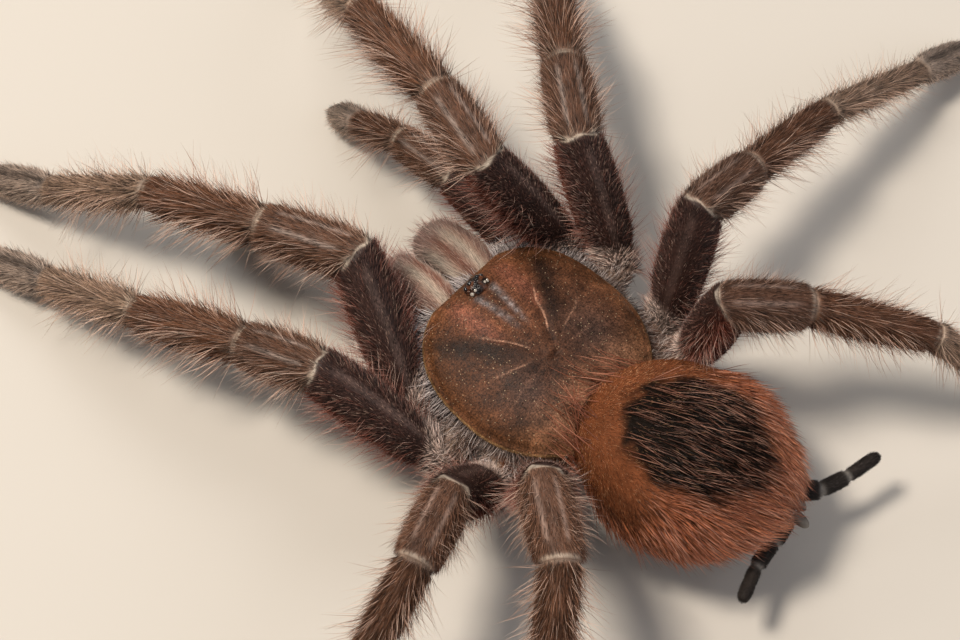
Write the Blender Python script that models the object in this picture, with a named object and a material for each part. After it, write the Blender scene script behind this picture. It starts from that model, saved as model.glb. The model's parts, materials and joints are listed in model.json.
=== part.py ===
"""Life-size still model of a goliath bird-eating tarantula in a walking stance.

The head faces -Y, the animal's left side is +X, and the feet stand on Z = 0.
Every solid is drawn out to the tips of the coat.  Sizes are in millimetres
and become metres where a mesh is written (MM).  Headings are measured in the
ground plane from straight out sideways (0) to straight back (90) or straight
forward (-90), the same way on both sides; pitches are measured up from level.
"""
import math

import bmesh
import bpy
from mathutils import Matrix, Vector

MM = 0.001
GAP = 0.3                     # clearance left between neighbouring pieces
WELD_REACH = 0.02             # points closer than this are merged after a cut
FOOT_HEIGHT = 1.75            # height over the floor of the ball at a foot's tip
FLOOR_FLAT = 0.0              # level at which every foot is cut flat

# Carapace, the plate over the head and the leg bases.
PLATE_HALF_WIDTH = 17.3
PLATE_FRONT = 18.8            # reach of the outline's curve in front
PLATE_FRONT_EDGE = 18.1       # where the front is cut straight across
PLATE_BACK = 17.5
PLATE_FRONT_POWER = 2.7       # squareness of the outline's front half
PLATE_UNDERSIDE = 13.6
PLATE_RIM = 0.9               # thickness of the edge
PLATE_DOME = 4.9              # rise of the dome above the rim
HEAD_RISE = 1.2               # extra rise of the head region
HEAD_HALF_WIDTH = 9.0
FRONT_WALL = 2.0              # extra height of the edge right in front

# The eye mound and the eyes on it: direction on the mound, and radius.
MOUND_CENTRE = Vector((0.0, -15.2, 19.0))
MOUND_SIZE = Vector((2.0, 1.65, 1.75))
EYES = {
    "anterior_median": ((0.40, -0.46, 0.79), 0.40),
    "anterior_lateral": ((0.82, -0.44, 0.42), 0.42),
    "posterior_lateral": ((0.80, 0.34, 0.52), 0.34),
    "posterior_median": ((0.50, 0.38, 0.80), 0.26),
}
EYE_FLATNESS = 0.62

# Trunk between the coxae, with the breastplate as its underside.
CORE_HALF_WIDTH = 5.6
CORE_HALF_LENGTH = 9.6
CORE_CENTRE_Y = 0.5
CORE_BOTTOM = 5.4

# Coxae: inner end of each, under the plate.
COXA_ROOTS = {0: (3.0, -9.0, 9.2), 1: (3.6, -5.6, 9.4), 2: (4.0, -1.3, 9.4),
              3: (4.0, 2.5, 9.4), 4: (4.2, 6.2, 9.4)}
COXA_INNER_RADIUS = 3.2
COXA_OUTER_RADIUS = {0: 2.7, 1: 3.3, 2: 3.3, 3: 3.3, 4: 3.3}

# Chelicera: distance ahead, height, half height, forward tilt, half width.
CHELICERA_MIDDLE = 4.4
CHELICERA_START_Y = -18.4
CHELICERA_PROFILE = (
    (0.0, 11.4, 5.6, 0.0, 4.1),
    (4.2, 12.0, 6.2, 6.0, 4.25),
    (8.0, 11.0, 5.6, 24.0, 4.1),
    (10.4, 8.9, 4.4, 46.0, 3.7),
    (11.4, 6.8, 2.7, 70.0, 3.0),
)
FANG_PATH = ((-29.2, 4.9), (-28.8, 3.8), (-27.0, 3.1), (-24.2, 2.9), (-21.4, 3.3))
FANG_RADII = (1.15, 1.15, 0.95, 0.65, 0.28)

# Abdomen, an egg whose axis is turned a little towards the right side.
ABDOMEN_CENTRE = Vector((-1.6, 29.6, 18.4))
ABDOMEN_HALF = Vector((15.2, 19.6, 12.8))
ABDOMEN_TURN = 18.0
ABDOMEN_REAR = 0.88           # how long the rear half is beside the front half
PEDICEL_START = Vector((0.6, 11.3, 9.6))
PEDICEL_RADIUS = 2.4

# Long spinnerets: base, and the three segments' length, heading and pitch.
SPINNERET_BASE = {"left": Vector((-6.7, 46.2, 12.3)), "right": Vector((-11.2, 44.0, 12.3))}
SPINNERET_LENGTHS = (4.2, 5.0, 6.8)
SPINNERET_HEADINGS = {"left": (12.0, 9.0, 20.0), "right": (40.0, 18.0, 11.0)}
SPINNERET_PITCH = (-6.0, -3.0, 2.0)
SPINNERET_RADII = (1.75, 1.45, 1.25)

# Limbs: segment lengths, the last up to the ball at the tip, and joint radii.
LENGTHS = {
    0: (18.0, 11.5, 12.5, 8.5),
    1: (27.0, 16.8, 21.0, 24.0, 15.5),
    2: (25.0, 15.2, 20.0, 21.5, 14.8),
    3: (23.5, 13.8, 19.5, 27.0, 15.5),
    4: (27.0, 14.5, 21.0, 26.0, 14.0),
}
JOINT_RADII = {
    0: (2.7, 3.1, 3.2, 3.0),
    1: (3.3, 4.1, 3.85, 3.3, 2.95),
    2: (3.3, 4.1, 3.85, 3.3, 2.95),
    3: (3.3, 4.0, 3.75, 3.2, 2.85),
    4: (3.3, 4.1, 3.85, 3.3, 2.95),
}
SWELL = (1.0, 0.45, 0.45, 0.1, 0.35)   # how far each segment swells between joints
TROCHANTER_WAIST = 0.17                # where the narrow hip part ends on a femur
TIP_RADIUS = 2.0              # ball at a foot's tip
LIMB_SIDES = 10

# Stance: hip place (x, y, z), then heading and pitch of each segment.  The
# last segment has a heading only, as its pitch brings the foot to the floor.
STANCE = {
    ("left", 0): ((13.8, -17.4, 8.6), ((-101, 27), (-89, -20), (-81, -34)), -84),
    ("right", 0): ((13.8, -17.5, 8.6), ((-91, 21), (-91, -6), (-90, -32)), -83),
    ("left", 1): ((19.4, -10.6, 9.9), ((-110, 38), (-69, -5), (-69, -10), (-69, -33)), -73),
    ("right", 1): ((19.0, -12.5, 9.9), ((-119, 58), (-73, -6), (-81, -4), (-64, -44)), -54),
    ("left", 2): ((22.8, -1.8, 9.9), ((-71, 33), (-76, -19), (-69, -10), (-78, -25)), -75),
    ("right", 2): ((22.3, -4.3, 9.9), ((-72, 54), (-52, -3), (-49, -16), (-49, -44)), -49),
    ("left", 3): ((20.6, 7.5, 9.9), ((13, 58), (22, 17), (11, -32), (11, -40)), 11),
    ("right", 3): ((19.4, 8.4, 9.9), ((-18, 58), (-1, -17), (2, -13), (6, -27)), 5),
    ("left", 4): ((15.8, 15.6, 9.9), ((36, 70), (53, 16), (38, -32), (38, -48)), 38),
    ("right", 4): ((18.4, 15.2, 9.9), ((88, 77), (34, -25), (55, -12), (55, -41)), 55),
}
LIMB_NAMES = {0: "palp", 1: "leg_1", 2: "leg_2", 3: "leg_3", 4: "leg_4"}
SIDES = {"left": 1.0, "right": -1.0}

# Finishes: base colour, roughness.
FINISHES = {
    "carapace_plate": ((0.120, 0.045, 0.022), 0.38),
    "leg_coat": ((0.055, 0.024, 0.018), 0.80),
    "grey_wool": ((0.260, 0.190, 0.165), 0.90),
    "abdomen_coat": ((0.150, 0.042, 0.020), 0.85),
    "spinneret_velvet": ((0.012, 0.011, 0.011), 0.75),
    "fang_horn": ((0.010, 0.006, 0.005), 0.22),
    "eye_lens": ((0.010, 0.010, 0.012), 0.06),
}


def remove_everything():
    """Empty the scene of its objects."""
    for item in list(bpy.data.objects):
        bpy.data.objects.remove(item, do_unlink=True)


def finish(name):
    """Return the named material, made on first use."""
    made = bpy.data.materials.get(name)
    if made is None:
        colour, roughness = FINISHES[name]
        made = bpy.data.materials.new(name)
        made.use_nodes = True
        shader = made.node_tree.nodes["Principled BSDF"]
        shader.inputs["Base Color"].default_value = (*colour, 1.0)
        shader.inputs["Roughness"].default_value = roughness
        shader.inputs["Metallic"].default_value = 0.0
    return made


def add_object(name, mesh_data, finish_name):
    """Write a bmesh in millimetres as an object in metres, faces outwards."""
    bmesh.ops.recalc_face_normals(mesh_data, faces=mesh_data.faces)
    bmesh.ops.transform(mesh_data, matrix=Matrix.Scale(MM, 4), verts=mesh_data.verts)
    mesh = bpy.data.meshes.new(name)
    mesh_data.to_mesh(mesh)
    mesh_data.free()
    mesh.materials.append(finish(finish_name))
    mesh.shade_smooth()
    made = bpy.data.objects.new(name, mesh)
    bpy.context.scene.collection.objects.link(made)
    return made


def loft(rings, tip=None):
    """Skin a list of equal rings of points, with flat ends or a pointed tip."""
    shape = bmesh.new()
    rows = [[shape.verts.new(point) for point in ring] for ring in rings]
    count = len(rows[0])
    for lower, upper in zip(rows, rows[1:]):
        for k in range(count):
            after = (k + 1) % count
            shape.faces.new((lower[k], lower[after], upper[after], upper[k]))
    shape.faces.new(list(reversed(rows[0])))
    if tip is None:
        shape.faces.new(rows[-1])
    else:
        end = shape.verts.new(tip)
        for k in range(count):
            shape.faces.new((rows[-1][k], rows[-1][(k + 1) % count], end))
    return shape


def direction(side, heading, pitch):
    """Unit vector of a limb segment on the given side."""
    turn, rise = math.radians(heading), math.radians(pitch)
    flat = math.cos(rise)
    return Vector((SIDES[side] * math.cos(turn) * flat, math.sin(turn) * flat, math.sin(rise)))


def cross_axes(along):
    """Level sideways axis and dorsal axis of a segment."""
    sideways = along.cross(Vector((0.0, 0.0, 1.0))).normalized()
    return sideways, sideways.cross(along).normalized()


def ring_offsets(along, radius, sides, depth=1.0):
    """Offsets of a ring's points from a segment's centre line."""
    sideways, dorsal = cross_axes(along)
    found = []
    for k in range(sides):
        angle = 2.0 * math.pi * (k + 0.5) / sides
        found.append(radius * (math.cos(angle) * sideways + depth * math.sin(angle) * dorsal))
    return found


def to_plane(point, along, plane_point, plane_normal):
    """Slide a point along a direction on to a plane."""
    travel = (plane_point - point).dot(plane_normal) / along.dot(plane_normal)
    return point + along * travel


def segment_rings(start, end, start_normal, end_normal, profile, sides=LIMB_SIDES, depth=1.0,
                  gap=GAP):
    """Rings of one segment between two joint planes.

    The profile gives (share of the length, radius) pairs from end to end.
    """
    along = (end - start).normalized()
    first_plane = start + start_normal * (0.5 * gap)
    last_plane = end - end_normal * (0.5 * gap)
    rings = []
    for share, radius in profile:
        ring = []
        for offset in ring_offsets(along, radius, sides, depth):
            low = to_plane(start + offset, along, first_plane, start_normal)
            high = to_plane(end + offset, along, last_plane, end_normal)
            ring.append(low.lerp(high, share))
        rings.append(ring)
    return rings


def swelling_profile(first, last, swell, waist=0.0):
    """Radii along a segment that swells between its two joints."""
    profile = [(0.0, first)]
    if waist:
        profile.append((waist, first * 1.03))
    for share in (0.28, 0.62, 0.88):
        bulge = math.sin(math.pi * share) ** 0.8
        profile.append((share, first + (last - first) * share + swell * bulge))
    profile.append((1.0, last))
    return profile


def limb_points(side, kind):
    """Joint points and segment directions of a limb, hip first."""
    hip, pose, last_heading = STANCE[side, kind]
    point = Vector((SIDES[side] * hip[0], hip[1], hip[2]))
    points, along = [point], []
    for length, (heading, pitch) in zip(LENGTHS[kind], pose):
        along.append(direction(side, heading, pitch))
        points.append(points[-1] + along[-1] * length)
    drop = (points[-1].z - FOOT_HEIGHT) / LENGTHS[kind][-1]
    along.append(direction(side, last_heading, -math.degrees(math.asin(drop))))
    points.append(points[-1] + along[-1] * LENGTHS[kind][-1])
    return points, along


def coxa_direction(side, kind):
    """Direction in which a coxa runs out to its hip."""
    x, y, z = COXA_ROOTS[kind]
    hip = STANCE[side, kind][0]
    return Vector((SIDES[side] * (hip[0] - x), hip[1] - y, hip[2] - z)).normalized()


def joint_normals(side, kind, along):
    """Planes that halve the bend at each joint, hip first."""
    before = coxa_direction(side, kind)
    normals = []
    for current in along:
        normals.append((before + current).normalized())
        before = current
    return normals


def tarsus_rings(start, end, start_normal, first_radius):
    """Rings of the last segment, closed by half a ball about its end."""
    along = (end - start).normalized()
    plane_point = start + start_normal * (0.5 * GAP)
    rings = []
    for share, radius in ((0.0, first_radius), (0.3, first_radius * 1.08),
                          (0.7, first_radius * 1.0)):
        ring = []
        for offset in ring_offsets(along, radius, LIMB_SIDES):
            low = to_plane(start + offset, along, plane_point, start_normal)
            ring.append(low.lerp(end + offset, share))
        rings.append(ring)
    for turn in (0.0, 35.0, 65.0):
        ahead = along * (TIP_RADIUS * math.sin(math.radians(turn)))
        radius = TIP_RADIUS * math.cos(math.radians(turn))
        rings.append([end + ahead + offset for offset in ring_offsets(along, radius, LIMB_SIDES)])
    return rings


def cut_at_floor(shape):
    """Trim a shape flat where it would reach below the floor."""
    everything = shape.verts[:] + shape.edges[:] + shape.faces[:]
    cut = bmesh.ops.bisect_plane(shape, geom=everything, dist=0.02,
                                 plane_co=(0.0, 0.0, FLOOR_FLAT),
                                 plane_no=(0.0, 0.0, 1.0), clear_inner=True)
    edges = [item for item in cut["geom_cut"] if isinstance(item, bmesh.types.BMEdge)]
    if edges:
        bmesh.ops.contextual_create(shape, geom=edges)
    for vert in shape.verts:
        if abs(vert.co.z) < 0.03:
            vert.co.z = FLOOR_FLAT


def build_limb(side, kind):
    """One palp or leg: femur with trochanter, patella, tibia and foot."""
    points, along = limb_points(side, kind)
    normals = joint_normals(side, kind, along)
    radii = JOINT_RADII[kind]
    prefix = f"{LIMB_NAMES[kind]}_{side}"
    upper = ("femur", "patella", "tibia")
    for k, part in enumerate(upper):
        waist = TROCHANTER_WAIST if k == 0 else 0.0
        scale = 1.0 if kind else 0.45
        profile = swelling_profile(radii[k], radii[k + 1], SWELL[k] * scale, waist)
        rings = segment_rings(points[k], points[k + 1], normals[k], normals[k + 1], profile)
        add_object(f"{prefix}_{part}", loft(rings), "leg_coat")
    if kind == 0:
        rings = tarsus_rings(points[3], points[4], normals[3], radii[3])
        last = "tarsus"
    else:
        profile = swelling_profile(radii[3], radii[4], SWELL[3])
        rings = segment_rings(points[3], points[4], normals[3], normals[4], profile, gap=GAP)
        rings += tarsus_rings(points[4], points[5], normals[4], radii[4])[1:]
        last = "foot"
    shape = loft(rings, tip=points[-1] + along[-1] * TIP_RADIUS)
    cut_at_floor(shape)
    add_object(f"{prefix}_{last}", shape, "leg_coat")


def combine(target, cutter, operation):
    """Join a cutter to a target, or cut it away, and hide the cutter."""
    cutter.hide_render = True
    cutter.display_type = "WIRE"
    boolean = target.modifiers.new(f"{operation.lower()}_{cutter.name}", "BOOLEAN")
    boolean.operation = operation
    boolean.solver = "EXACT"
    boolean.object = cutter


def weld(target):
    """Merge the almost coincident points that a cut leaves."""
    merge = target.modifiers.new("weld", "WELD")
    merge.merge_threshold = WELD_REACH * MM


def ellipse_prism(half_width, half_length, centre_y, low, high, sides=24, belly=0.0):
    """Upright oval block, with a domed underside where belly is given."""
    rings = []
    levels = [(high, 1.0), (low + belly, 1.0)]
    if belly:
        levels += [(low + 0.35 * belly, 0.86), (low, 0.55)]
    for level, share in levels:
        ring = []
        for k in range(sides):
            angle = 2.0 * math.pi * k / sides
            ring.append(Vector((half_width * share * math.cos(angle),
                                centre_y + half_length * share * math.sin(angle), level)))
        rings.append(ring)
    return loft(rings)


def build_core():
    """Trunk under the carapace with the breastplate below."""
    shape = ellipse_prism(CORE_HALF_WIDTH, CORE_HALF_LENGTH, CORE_CENTRE_Y, CORE_BOTTOM,
                          PLATE_UNDERSIDE - GAP, belly=1.6)
    add_object("sternum", shape, "grey_wool")


def build_coxae(side):
    """The five coxae of one side, joined to each other."""
    pieces = []
    for kind in COXA_ROOTS:
        x, y, z = COXA_ROOTS[kind]
        start = Vector((SIDES[side] * x, y, z))
        points, along = limb_points(side, kind)
        normals = joint_normals(side, kind, along)
        coxa_way = coxa_direction(side, kind)
        outer = COXA_OUTER_RADIUS[kind]
        profile = ((0.0, COXA_INNER_RADIUS), (0.5, 0.5 * (COXA_INNER_RADIUS + outer) + 0.1),
                   (0.8, outer + 0.05), (1.0, outer))
        rings = segment_rings(start, points[0], coxa_way, normals[0], profile)
        name = f"coxae_{side}" if kind == 0 else f"cutter_coxa_{kind}_{side}"
        pieces.append(add_object(name, loft(rings), "grey_wool"))
    for other in pieces[1:]:
        combine(pieces[0], other, "UNION")
    clearance = ellipse_prism(CORE_HALF_WIDTH + GAP, CORE_HALF_LENGTH + GAP, CORE_CENTRE_Y,
                              0.0, PLATE_UNDERSIDE + 5.0)
    combine(pieces[0], add_object(f"cutter_core_{side}", clearance, "grey_wool"), "DIFFERENCE")
    weld(pieces[0])


def plate_outline(angle, grow=0.0):
    """Point of the carapace's outline; angle 0 is its left, 90 its back."""
    c, s = math.cos(angle), math.sin(angle)
    half, back, front = PLATE_HALF_WIDTH + grow, PLATE_BACK + grow, PLATE_FRONT + grow
    if s >= 0.0:
        reach = 1.0 / math.hypot(c / half, s / back)
        return c * reach, s * reach
    power = PLATE_FRONT_POWER
    reach = (abs(c / half) ** power + abs(s / front) ** power) ** (-1.0 / power)
    return c * reach, max(s * reach, -(PLATE_FRONT_EDGE + grow))


def plate_height(x, y, share):
    """Height of the carapace's top; share is 0 at its middle, 1 at its rim."""
    dome = PLATE_DOME * max(0.0, 1.0 - share ** 3.0) ** 0.75
    across = max(0.0, 1.0 - (x / HEAD_HALF_WIDTH) ** 2)
    forward = min(1.0, max(0.0, (4.0 - y) / 12.0))
    head = HEAD_RISE * across * forward * max(0.0, 1.0 - share ** 8.0)
    wall = FRONT_WALL * min(1.0, max(0.0, (-4.0 - y) / 14.0)) ** 1.5
    return PLATE_UNDERSIDE + PLATE_RIM + wall + dome + head


def plate_shape(grow=0.0, drop=0.0):
    """The carapace, or a larger copy of it to cut a neighbour with."""
    sides = 40
    shares = (1.0, 0.97, 0.9, 0.79, 0.64, 0.46, 0.25)
    angles = [2.0 * math.pi * k / sides for k in range(sides)]
    outline = [plate_outline(angle, grow) for angle in angles]
    under = [Vector((x * 0.985, y * 0.985, PLATE_UNDERSIDE - drop)) for x, y in outline]
    rings = [under]
    for share in shares:
        rings.append([Vector((x * share, y * share, plate_height(x * share, y * share, share) + grow))
                      for x, y in outline])
    return loft(rings, tip=Vector((0.0, 0.0, plate_height(0.0, 0.0, 0.0) + grow)))


def ball(centre, half, segments=16, rings=8):
    """Ellipsoid about a point."""
    shape = bmesh.new()
    bmesh.ops.create_uvsphere(shape, u_segments=segments, v_segments=rings, radius=1.0)
    bmesh.ops.scale(shape, vec=half, verts=shape.verts)
    bmesh.ops.translate(shape, vec=centre, verts=shape.verts)
    return shape


def build_carapace():
    """Carapace with the eye mound joined to it."""
    plate = add_object("carapace", plate_shape(), "carapace_plate")
    mound = add_object("cutter_mound", ball(MOUND_CENTRE, MOUND_SIZE), "carapace_plate")
    combine(plate, mound, "UNION")
    weld(plate)


def build_eye(name, side):
    """One lens standing on the eye mound."""
    way, radius = EYES[name]
    way = Vector((SIDES[side] * way[0], way[1], way[2])).normalized()
    place = MOUND_CENTRE + Vector(a * b for a, b in zip(way, MOUND_SIZE))
    normal = Vector(a / b for a, b in zip(way, MOUND_SIZE)).normalized()
    base = place + normal * GAP
    sideways, dorsal = cross_axes(normal)
    rings = []
    for turn in (0.0, 32.0, 62.0):
        out = radius * math.cos(math.radians(turn))
        lift = radius * EYE_FLATNESS * math.sin(math.radians(turn))
        ring = []
        for k in range(10):
            angle = 2.0 * math.pi * k / 10
            ring.append(base + normal * lift + out * (math.cos(angle) * sideways
                                                      + math.sin(angle) * dorsal))
        rings.append(ring)
    shape = loft(rings, tip=base + normal * radius * EYE_FLATNESS)
    add_object(f"eye_{name}_{side}", shape, "eye_lens")


def build_chelicera(side):
    """Arched base of a fang, in front of the carapace."""
    rings = []
    middle = SIDES[side] * (CHELICERA_MIDDLE + 0.5 * GAP)
    for ahead, height, half_height, tilt, half_width in CHELICERA_PROFILE:
        lean = math.radians(tilt)
        up = Vector((0.0, -math.sin(lean), math.cos(lean)))
        centre = Vector((middle, CHELICERA_START_Y - ahead, height))
        ring = []
        for k in range(14):
            angle = 2.0 * math.pi * (k + 0.5) / 14
            c, s = math.cos(angle), math.sin(angle)
            squarer = (abs(c) ** 2.6 + abs(s) ** 2.6) ** (-1.0 / 2.6)
            ring.append(centre + Vector((half_width * c * squarer, 0.0, 0.0))
                        + up * (half_height * s * squarer))
        rings.append(ring)
    add_object(f"chelicera_{side}", loft(rings), "grey_wool")


def build_fang(side):
    """Fang folded back under its base."""
    rings = []
    count = len(FANG_PATH)
    for k, ((y, z), radius) in enumerate(zip(FANG_PATH, FANG_RADII)):
        before, after = FANG_PATH[max(k - 1, 0)], FANG_PATH[min(k + 1, count - 1)]
        way = Vector((0.0, after[0] - before[0], after[1] - before[1])).normalized()
        if k == 0:
            way = Vector((0.0, 0.0, -1.0))
        across = Vector((1.0, 0.0, 0.0))
        over = way.cross(across)
        centre = Vector((SIDES[side] * (CHELICERA_MIDDLE + 0.5 * GAP), y, z))
        rings.append([centre + radius * (math.cos(a) * across + math.sin(a) * over)
                      for a in (2.0 * math.pi * j / 8 for j in range(8))])
    add_object(f"fang_{side}", loft(rings), "fang_horn")


def abdomen_shape():
    """Egg with a fuller front, turned about the vertical."""
    shape = ball(Vector((0.0, 0.0, 0.0)), Vector((1.0, 1.0, 1.0)), 24, 14)
    bmesh.ops.rotate(shape, matrix=Matrix.Rotation(math.radians(90.0), 3, "X"), verts=shape.verts)
    for vert in shape.verts:
        x, y, z = vert.co
        narrow = 1.0 - 0.10 * y - 0.05 * y * y
        vert.co.x = ABDOMEN_HALF.x * x * (narrow + 0.05)
        vert.co.z = ABDOMEN_HALF.z * z * (1.0 - 0.05 * y) - (0.9 * y * y if z < 0 else 0.0) * z
        rear = ABDOMEN_REAR if y > 0 else 1.0
        vert.co.y = ABDOMEN_HALF.y * y * rear - 1.2 * z * (1.0 - y) * 0.5
    bmesh.ops.rotate(shape, matrix=Matrix.Rotation(math.radians(ABDOMEN_TURN), 3, "Z"),
                     verts=shape.verts)
    bmesh.ops.translate(shape, vec=ABDOMEN_CENTRE, verts=shape.verts)
    return shape


def build_abdomen():
    """Abdomen with its stalk, cut clear of the carapace, core and coxae."""
    abdomen = add_object("abdomen", abdomen_shape(), "abdomen_coat")
    stalk_end = Vector((ABDOMEN_CENTRE.x + 4.0, ABDOMEN_CENTRE.y - 14.0, PEDICEL_START.z + 2.5))
    way = (stalk_end - PEDICEL_START).normalized()
    rings = [[point + offset for offset in ring_offsets(way, PEDICEL_RADIUS, 10)]
             for point in (PEDICEL_START, stalk_end)]
    combine(abdomen, add_object("cutter_stalk", loft(rings), "abdomen_coat"), "UNION")
    clearance = add_object("cutter_plate", plate_shape(grow=GAP, drop=0.4), "carapace_plate")
    combine(abdomen, clearance, "DIFFERENCE")
    weld(abdomen)


def build_spinneret(side):
    """Long three-part spinneret at the abdomen's end."""
    point = SPINNERET_BASE[side]
    path = [point]
    for length, heading, pitch in zip(SPINNERET_LENGTHS, SPINNERET_HEADINGS[side],
                                      SPINNERET_PITCH):
        path.append(path[-1] + direction(side, heading, pitch) * length)
    rings = []
    for k, (start, end) in enumerate(zip(path, path[1:])):
        along = (end - start).normalized()
        radius = SPINNERET_RADII[k]
        for share, swell in ((0.06, 0.82), (0.3, 1.0), (0.75, 1.0)):
            rings.append([start.lerp(end, share) + offset
                          for offset in ring_offsets(along, radius * swell, 8)])
    rings.append([path[-1] - along * 0.5 + offset
                  for offset in ring_offsets(along, SPINNERET_RADII[-1] * 0.72, 8)])
    add_object(f"spinneret_{side}", loft(rings, tip=path[-1]), "spinneret_velvet")


def centre_on_floor():
    """Move everything so that the model's box stands centred on the origin."""
    bpy.context.view_layer.update()
    shown = [item for item in bpy.data.objects if not item.hide_render]
    corners = [item.matrix_world @ vert.co for item in shown for vert in item.data.vertices]
    middle = Vector(((min(c.x for c in corners) + max(c.x for c in corners)) / 2.0,
                     (min(c.y for c in corners) + max(c.y for c in corners)) / 2.0, 0.0))
    for item in bpy.data.objects:
        item.data.transform(Matrix.Translation(-middle))


def main():
    """Build every piece and stand the model on its origin."""
    remove_everything()
    build_core()
    build_carapace()
    for side in SIDES:
        build_coxae(side)
        build_chelicera(side)
        build_fang(side)
        build_spinneret(side)
        for name in EYES:
            build_eye(name, side)
        for kind in LIMB_NAMES:
            build_limb(side, kind)
    build_abdomen()
    centre_on_floor()


main()
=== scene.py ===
"""Goliath bird-eating tarantula at life size: skins, coat, plate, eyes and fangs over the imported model.

Shapes are worked out in millimetres in the animal's own frame, whose origin lies on the floor under the
middle of the carapace, with the head towards -Y and the left side towards +X.  They become metres in the
row's frame when a mesh is written.  Angles round a limb start at its side and reach the back at 90 degrees.
"""
import json
import logging
import math
from dataclasses import dataclass, field
from enum import Enum
from functools import cached_property
from typing import Any, Sequence

import bpy
import numpy as np
from bpy.types import Collection, ID, Material, Mesh, Node, NodeSocket, NodeTree, Object
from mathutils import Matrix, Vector

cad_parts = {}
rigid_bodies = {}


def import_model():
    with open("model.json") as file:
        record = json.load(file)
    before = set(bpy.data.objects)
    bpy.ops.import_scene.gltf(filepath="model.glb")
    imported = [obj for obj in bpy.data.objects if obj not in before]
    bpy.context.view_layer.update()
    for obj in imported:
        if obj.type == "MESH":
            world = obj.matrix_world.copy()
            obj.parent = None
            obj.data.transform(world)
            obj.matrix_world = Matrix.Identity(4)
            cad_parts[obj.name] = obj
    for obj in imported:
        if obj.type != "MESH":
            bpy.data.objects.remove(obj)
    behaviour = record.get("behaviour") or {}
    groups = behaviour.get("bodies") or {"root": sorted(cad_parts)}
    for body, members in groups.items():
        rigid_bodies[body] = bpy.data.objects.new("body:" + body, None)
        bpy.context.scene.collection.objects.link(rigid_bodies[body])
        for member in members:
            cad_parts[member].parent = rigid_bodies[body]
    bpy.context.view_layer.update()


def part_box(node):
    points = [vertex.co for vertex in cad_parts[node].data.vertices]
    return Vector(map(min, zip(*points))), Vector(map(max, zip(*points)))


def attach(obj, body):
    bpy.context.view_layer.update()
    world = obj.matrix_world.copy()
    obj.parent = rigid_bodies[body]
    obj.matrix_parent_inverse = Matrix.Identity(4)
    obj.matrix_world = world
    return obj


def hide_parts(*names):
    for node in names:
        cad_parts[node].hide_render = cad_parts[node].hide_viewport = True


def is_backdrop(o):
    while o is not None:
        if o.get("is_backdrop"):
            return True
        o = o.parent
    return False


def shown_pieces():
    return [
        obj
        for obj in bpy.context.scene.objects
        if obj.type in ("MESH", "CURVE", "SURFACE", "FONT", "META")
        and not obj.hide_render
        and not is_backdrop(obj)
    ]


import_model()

Array = np.ndarray
Point = tuple[float, float, float]
LOG = logging.getLogger("tarantula")
MM = 0.001
UP = np.array([0.0, 0.0, 1.0])
FORWARD = np.array([0.0, -1.0, 0.0])
PATCH = 0.003  # size of one bristle's place on the unwrap
MOST_TRIANGLES = 198_000  # the largest coat piece
FLOOR_CLEARANCE = 0.06  # the lowest that a bristle reaches
SKIN_CLEARANCE = 0.12  # the lowest that a limb's skin reaches
SHORTEST = 0.2  # the shortest bristle that is grown


class Named(Enum):
    """A choice whose name the nodes have in small letters."""

    @property
    def word(self) -> str:
        """The name as the nodes have it."""
        return self.name.lower()


class Side(Named):
    """Which side of the animal a piece is on."""

    LEFT = 1.0
    RIGHT = -1.0

    def pick(self, left: Any, right: Any) -> Any:
        """The one of two things that is this side's."""
        return left if self is Side.LEFT else right


class Kind(Named):
    """The five limbs of a side, from the front."""

    PALP = 0
    LEG_1 = 1
    LEG_2 = 2
    LEG_3 = 3
    LEG_4 = 4


class Slot(Enum):
    """Names of the material slots."""

    PLATE = "carapace_plate"
    LEG = "leg_coat"
    WOOL = "grey_wool"
    ABDOMEN = "abdomen_coat"
    VELVET = "spinneret_velvet"
    HORN = "fang_horn"
    LENS = "eye_lens"


# ---- small tools


def linear(colour: str) -> Array:
    """Turn an sRGB hex colour into linear values.

    Args:
        colour: Six hex digits after a hash.

    Returns:
        Three values from 0 to 1.
    """
    raw = np.array([int(colour[i:i + 2], 16) / 255.0 for i in (1, 3, 5)])
    return np.where(raw <= 0.04045, raw / 12.92, ((raw + 0.055) / 1.055) ** 2.4)


def unit(vectors: Any) -> Array:
    """Scale vectors to length one."""
    found = np.asarray(vectors, float)
    return found / np.maximum(np.linalg.norm(found, axis=-1, keepdims=True), 1e-9)


def ease(low: float, high: float, values: Any) -> Array:
    """Rise smoothly from 0 at low to 1 at high."""
    t = np.clip((np.asarray(values, float) - low) / (high - low), 0.0, 1.0)
    return t * t * (3.0 - 2.0 * t)


def bump(values: Any, width: float) -> Array:
    """Bell of height one about zero."""
    return np.exp(-(np.asarray(values, float) / width) ** 2)


def mix(first: Any, second: Any, share: Any) -> Array:
    """Blend colours or numbers.

    Args:
        first: What a share of 0 gives.
        second: What a share of 1 gives.
        share: One share, or one for each point.

    Returns:
        The blend, with a last axis of three if either is a colour.
    """
    first, second, share = (np.asarray(item, float) for item in (first, second, share))
    if share.ndim and max(first.ndim, second.ndim) and (first.shape[-1:] == (3,) or second.shape[-1:] == (3,)):
        share = share[..., None]
    return first + (second - first) * share


def paint(ground: Array, *marks: tuple[str, Any]) -> Array:
    """Lay marks over a ground one after another.

    Args:
        ground: Linear colours.
        *marks: The hex colour of each mark and how strongly it covers what lies under it.

    Returns:
        Linear colours.
    """
    for colour, strength in marks:
        ground = mix(ground, linear(colour), strength)
    return ground


def blend(first: str, second: str, share: Any) -> Array:
    """Blend two hex colours."""
    return mix(linear(first), linear(second), share)


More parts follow.
